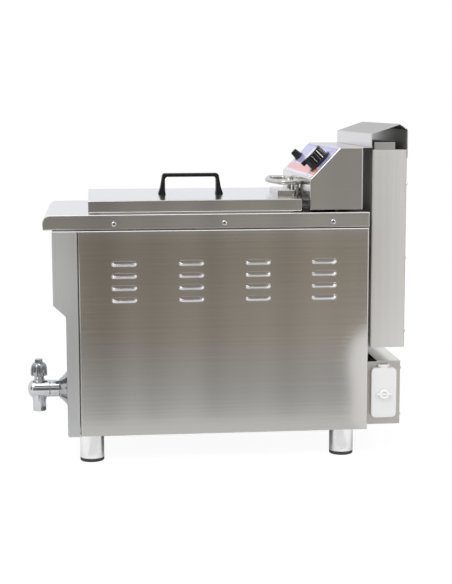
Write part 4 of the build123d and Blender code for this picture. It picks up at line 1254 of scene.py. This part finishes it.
sideCard = {
    "x": 0.45,
    "outline": (  # along, up
        (-0.26, 0.0), (0.276, 0.0), (0.274, 0.06), (0.267, 0.11), (0.276, 0.15), (0.34, 0.2),
        (0.34, 0.7), (-0.42, 0.7), (-0.42, 0.338), (-0.26, 0.338),
    ),
    "bandStretch": (0.4, 14.0, 0.4),
    "bandDetail": 1.0,
    "bandSpan": (0.35, 0.65),
    "bandDepth": 0.12,
    "tones": (  # height, tone
        (0.0, (0.59, 0.6, 0.6)), (0.06, (0.44, 0.44, 0.43)), (0.16, (0.33, 0.3, 0.26)),
        (0.345, (0.27, 0.24, 0.2)), (0.365, (0.36, 0.35, 0.33)), (0.4, (0.3, 0.29, 0.27)),
    ),
    "fadeRange": (0.06, 0.16),  # heights between which the brightening along the card sets in
    "ends": (-0.22, 0.22),
    "brightness": (0.87, 1.25),  # at the front end, at the rear end
}


# How much of the background's white is seen: straight by the camera, and mirrored or let through
def seenShare(owner, straight, mirrored):
    ray = addNode(owner, "LightPath").outputs
    bounced = computed(owner, "Math", "MAXIMUM", ray["Is Glossy Ray"], ray["Is Transmission Ray"])
    direct = computed(owner, "Math", "MULTIPLY", ray["Is Camera Ray"], straight)
    both = computed(owner, "Math", "MULTIPLY_ADD", bounced["Value"], mirrored, direct["Value"])
    return both["Value"]


def mixedShaders(owner, share, first, second):
    mix = addNode(owner, "MixShader")
    for target, given in zip(mix.inputs, (share, first, second)):
        feed(owner, given, target)
    return mix.outputs[0]


def buildWorld():
    world = bpy.data.worlds.new("studioWorld")
    bpy.context.scene.world = world
    world.use_nodes = True
    world.node_tree.nodes.clear()
    glows = []
    for strength in (studio["worldLight"], studio["worldWhite"]):
        glow = addNode(world, "Background")
        glow.inputs["Color"].default_value = (1, 1, 1, 1)
        glow.inputs["Strength"].default_value = strength
        glows.append(glow.outputs[0])
    light = mixedShaders(world, seenShare(world, 1.0, 1.0), *glows)
    feed(world, light, addNode(world, "OutputWorld").inputs["Surface"])


def flatSheet(name, corners, material):
    mesh = bpy.data.meshes.new(name)
    mesh.from_pydata(corners, [], [tuple(range(len(corners)))])
    mesh.materials.append(material)
    made = bpy.data.objects.new(name, mesh)
    bpy.context.scene.collection.objects.link(made)
    return made


def buildFloor():
    finish = startFinish("floorPaper", 0.0, studio["floorRoughness"])
    shader = principled(finish)
    shader.inputs["Base Color"].default_value = studio["floorColour"]
    shader.inputs["Specular IOR Level"].default_value = 0.0
    paper = addNode(finish, "Emission")
    paper.inputs["Strength"].default_value = studio["paperWhite"]
    share = seenShare(finish, studio["paperShare"], studio["mirroredShare"])
    above = mixedShaders(finish, share, shader.outputs[0], paper.outputs[0])
    clear = addNode(finish, "BsdfTransparent").outputs[0]  # seen through from underneath
    underneath = addNode(finish, "NewGeometry").outputs["Backfacing"]
    oneSided = mixedShaders(finish, underneath, above, clear)
    feed(finish, oneSided, finish.node_tree.nodes["Material Output"].inputs["Surface"])
    half = studio["floorSize"] / 2
    corners = [(-half, -half, 0), (half, -half, 0), (half, half, 0), (-half, half, 0)]
    flatSheet("floor", corners, finish)


# A card that only mirroring surfaces see
def studioCard(name, corners):
    finish = bpy.data.materials.new(name)
    finish.use_nodes = True
    finish.node_tree.nodes.clear()
    glow = addNode(finish, "Emission")
    feed(finish, glow.outputs[0], addNode(finish, "OutputMaterial").inputs["Surface"])
    made = flatSheet(name, corners, finish)
    made.visible_camera = False
    made.visible_diffuse = False
    made.visible_shadow = False
    return finish, glow


# The side card is graded by height, brighter toward the rear, and faintly banded
def buildSideCard():
    corners = [(sideCard["x"], along, up) for along, up in sideCard["outline"]]
    finish, glow = studioCard("sideCard", corners)
    parts = addNode(finish, "SeparateXYZ")
    feed(finish, objectPlace(finish), parts.inputs[0])
    tall = max(up for along, up in sideCard["outline"])
    stops = [(height / tall, colour) for height, colour in sideCard["tones"]]
    tone = ramped(finish, ranged(finish, parts.outputs["Z"], 0.0, tall), stops)
    share = ranged(finish, parts.outputs["Z"], *sideCard["fadeRange"])
    change = ranged(finish, parts.outputs["Y"], *sideCard["ends"], *sideCard["brightness"])
    level = mixed(finish, share, 1.0, change)
    noise = grain(finish, sideCard["bandStretch"], sideCard["bandDetail"])
    depth = sideCard["bandDepth"]
    bands = ranged(finish, noise, *sideCard["bandSpan"], 1 - depth, 1 + depth)
    strength = computed(finish, "Math", "MULTIPLY", bands, level)["Value"]
    feed(finish, tone, glow.inputs["Color"])
    feed(finish, strength, glow.inputs["Strength"])


def buildStudio():
    bpy.context.scene.view_settings.view_transform = "Standard"
    buildWorld()
    buildFloor()
    buildSideCard()
    for name, card in studio["cards"].items():
        glow = studioCard(name, card["corners"])[1]
        glow.inputs["Color"].default_value = (*card["tone"], 1)
    for name, box in studio["softboxes"].items():
        lamp = bpy.data.lights.new(name, "AREA")
        lamp.shape = "RECTANGLE"
        lamp.size = lamp.size_y = box["size"]
        lamp.energy = box["power"]
        made = bpy.data.objects.new(name, lamp)
        bpy.context.scene.collection.objects.link(made)
        made.location = box["place"]
        ahead = Vector(studio["aim"]) - made.location
        made.rotation_euler = ahead.to_track_quat("-Z", "Y").to_euler()


view = {
    "place": (2.33565, -0.21039, 0.58678),
    "yaw": 5.737,
    "pitch": 7.951,
    "roll": -0.159,
    "focalPixels": 1334.9,
    "imageHeight": 584,
    "sensor": 36.0,
}


def buildCamera():
    yaw, pitch, roll = (math.radians(view[key]) for key in ("yaw", "pitch", "roll"))
    level = math.cos(pitch)
    ahead = Vector((-math.cos(yaw) * level, math.sin(yaw) * level, -math.sin(pitch)))
    right = Vector((math.sin(yaw), math.cos(yaw), 0))
    up = right.cross(ahead)
    across = right * math.cos(roll) + up * math.sin(roll)
    upright = up * math.cos(roll) - right * math.sin(roll)
    data = bpy.data.cameras.new("photoCamera")
    data.sensor_width = view["sensor"]
    data.lens = view["focalPixels"] * view["sensor"] / view["imageHeight"]
    camera = bpy.data.objects.new("photoCamera", data)
    bpy.context.scene.collection.objects.link(camera)
    camera.matrix_world = placed(view["place"], across, upright, -ahead)
    bpy.context.scene.camera = camera


buildStudio()
buildCamera()
print("studio lit")
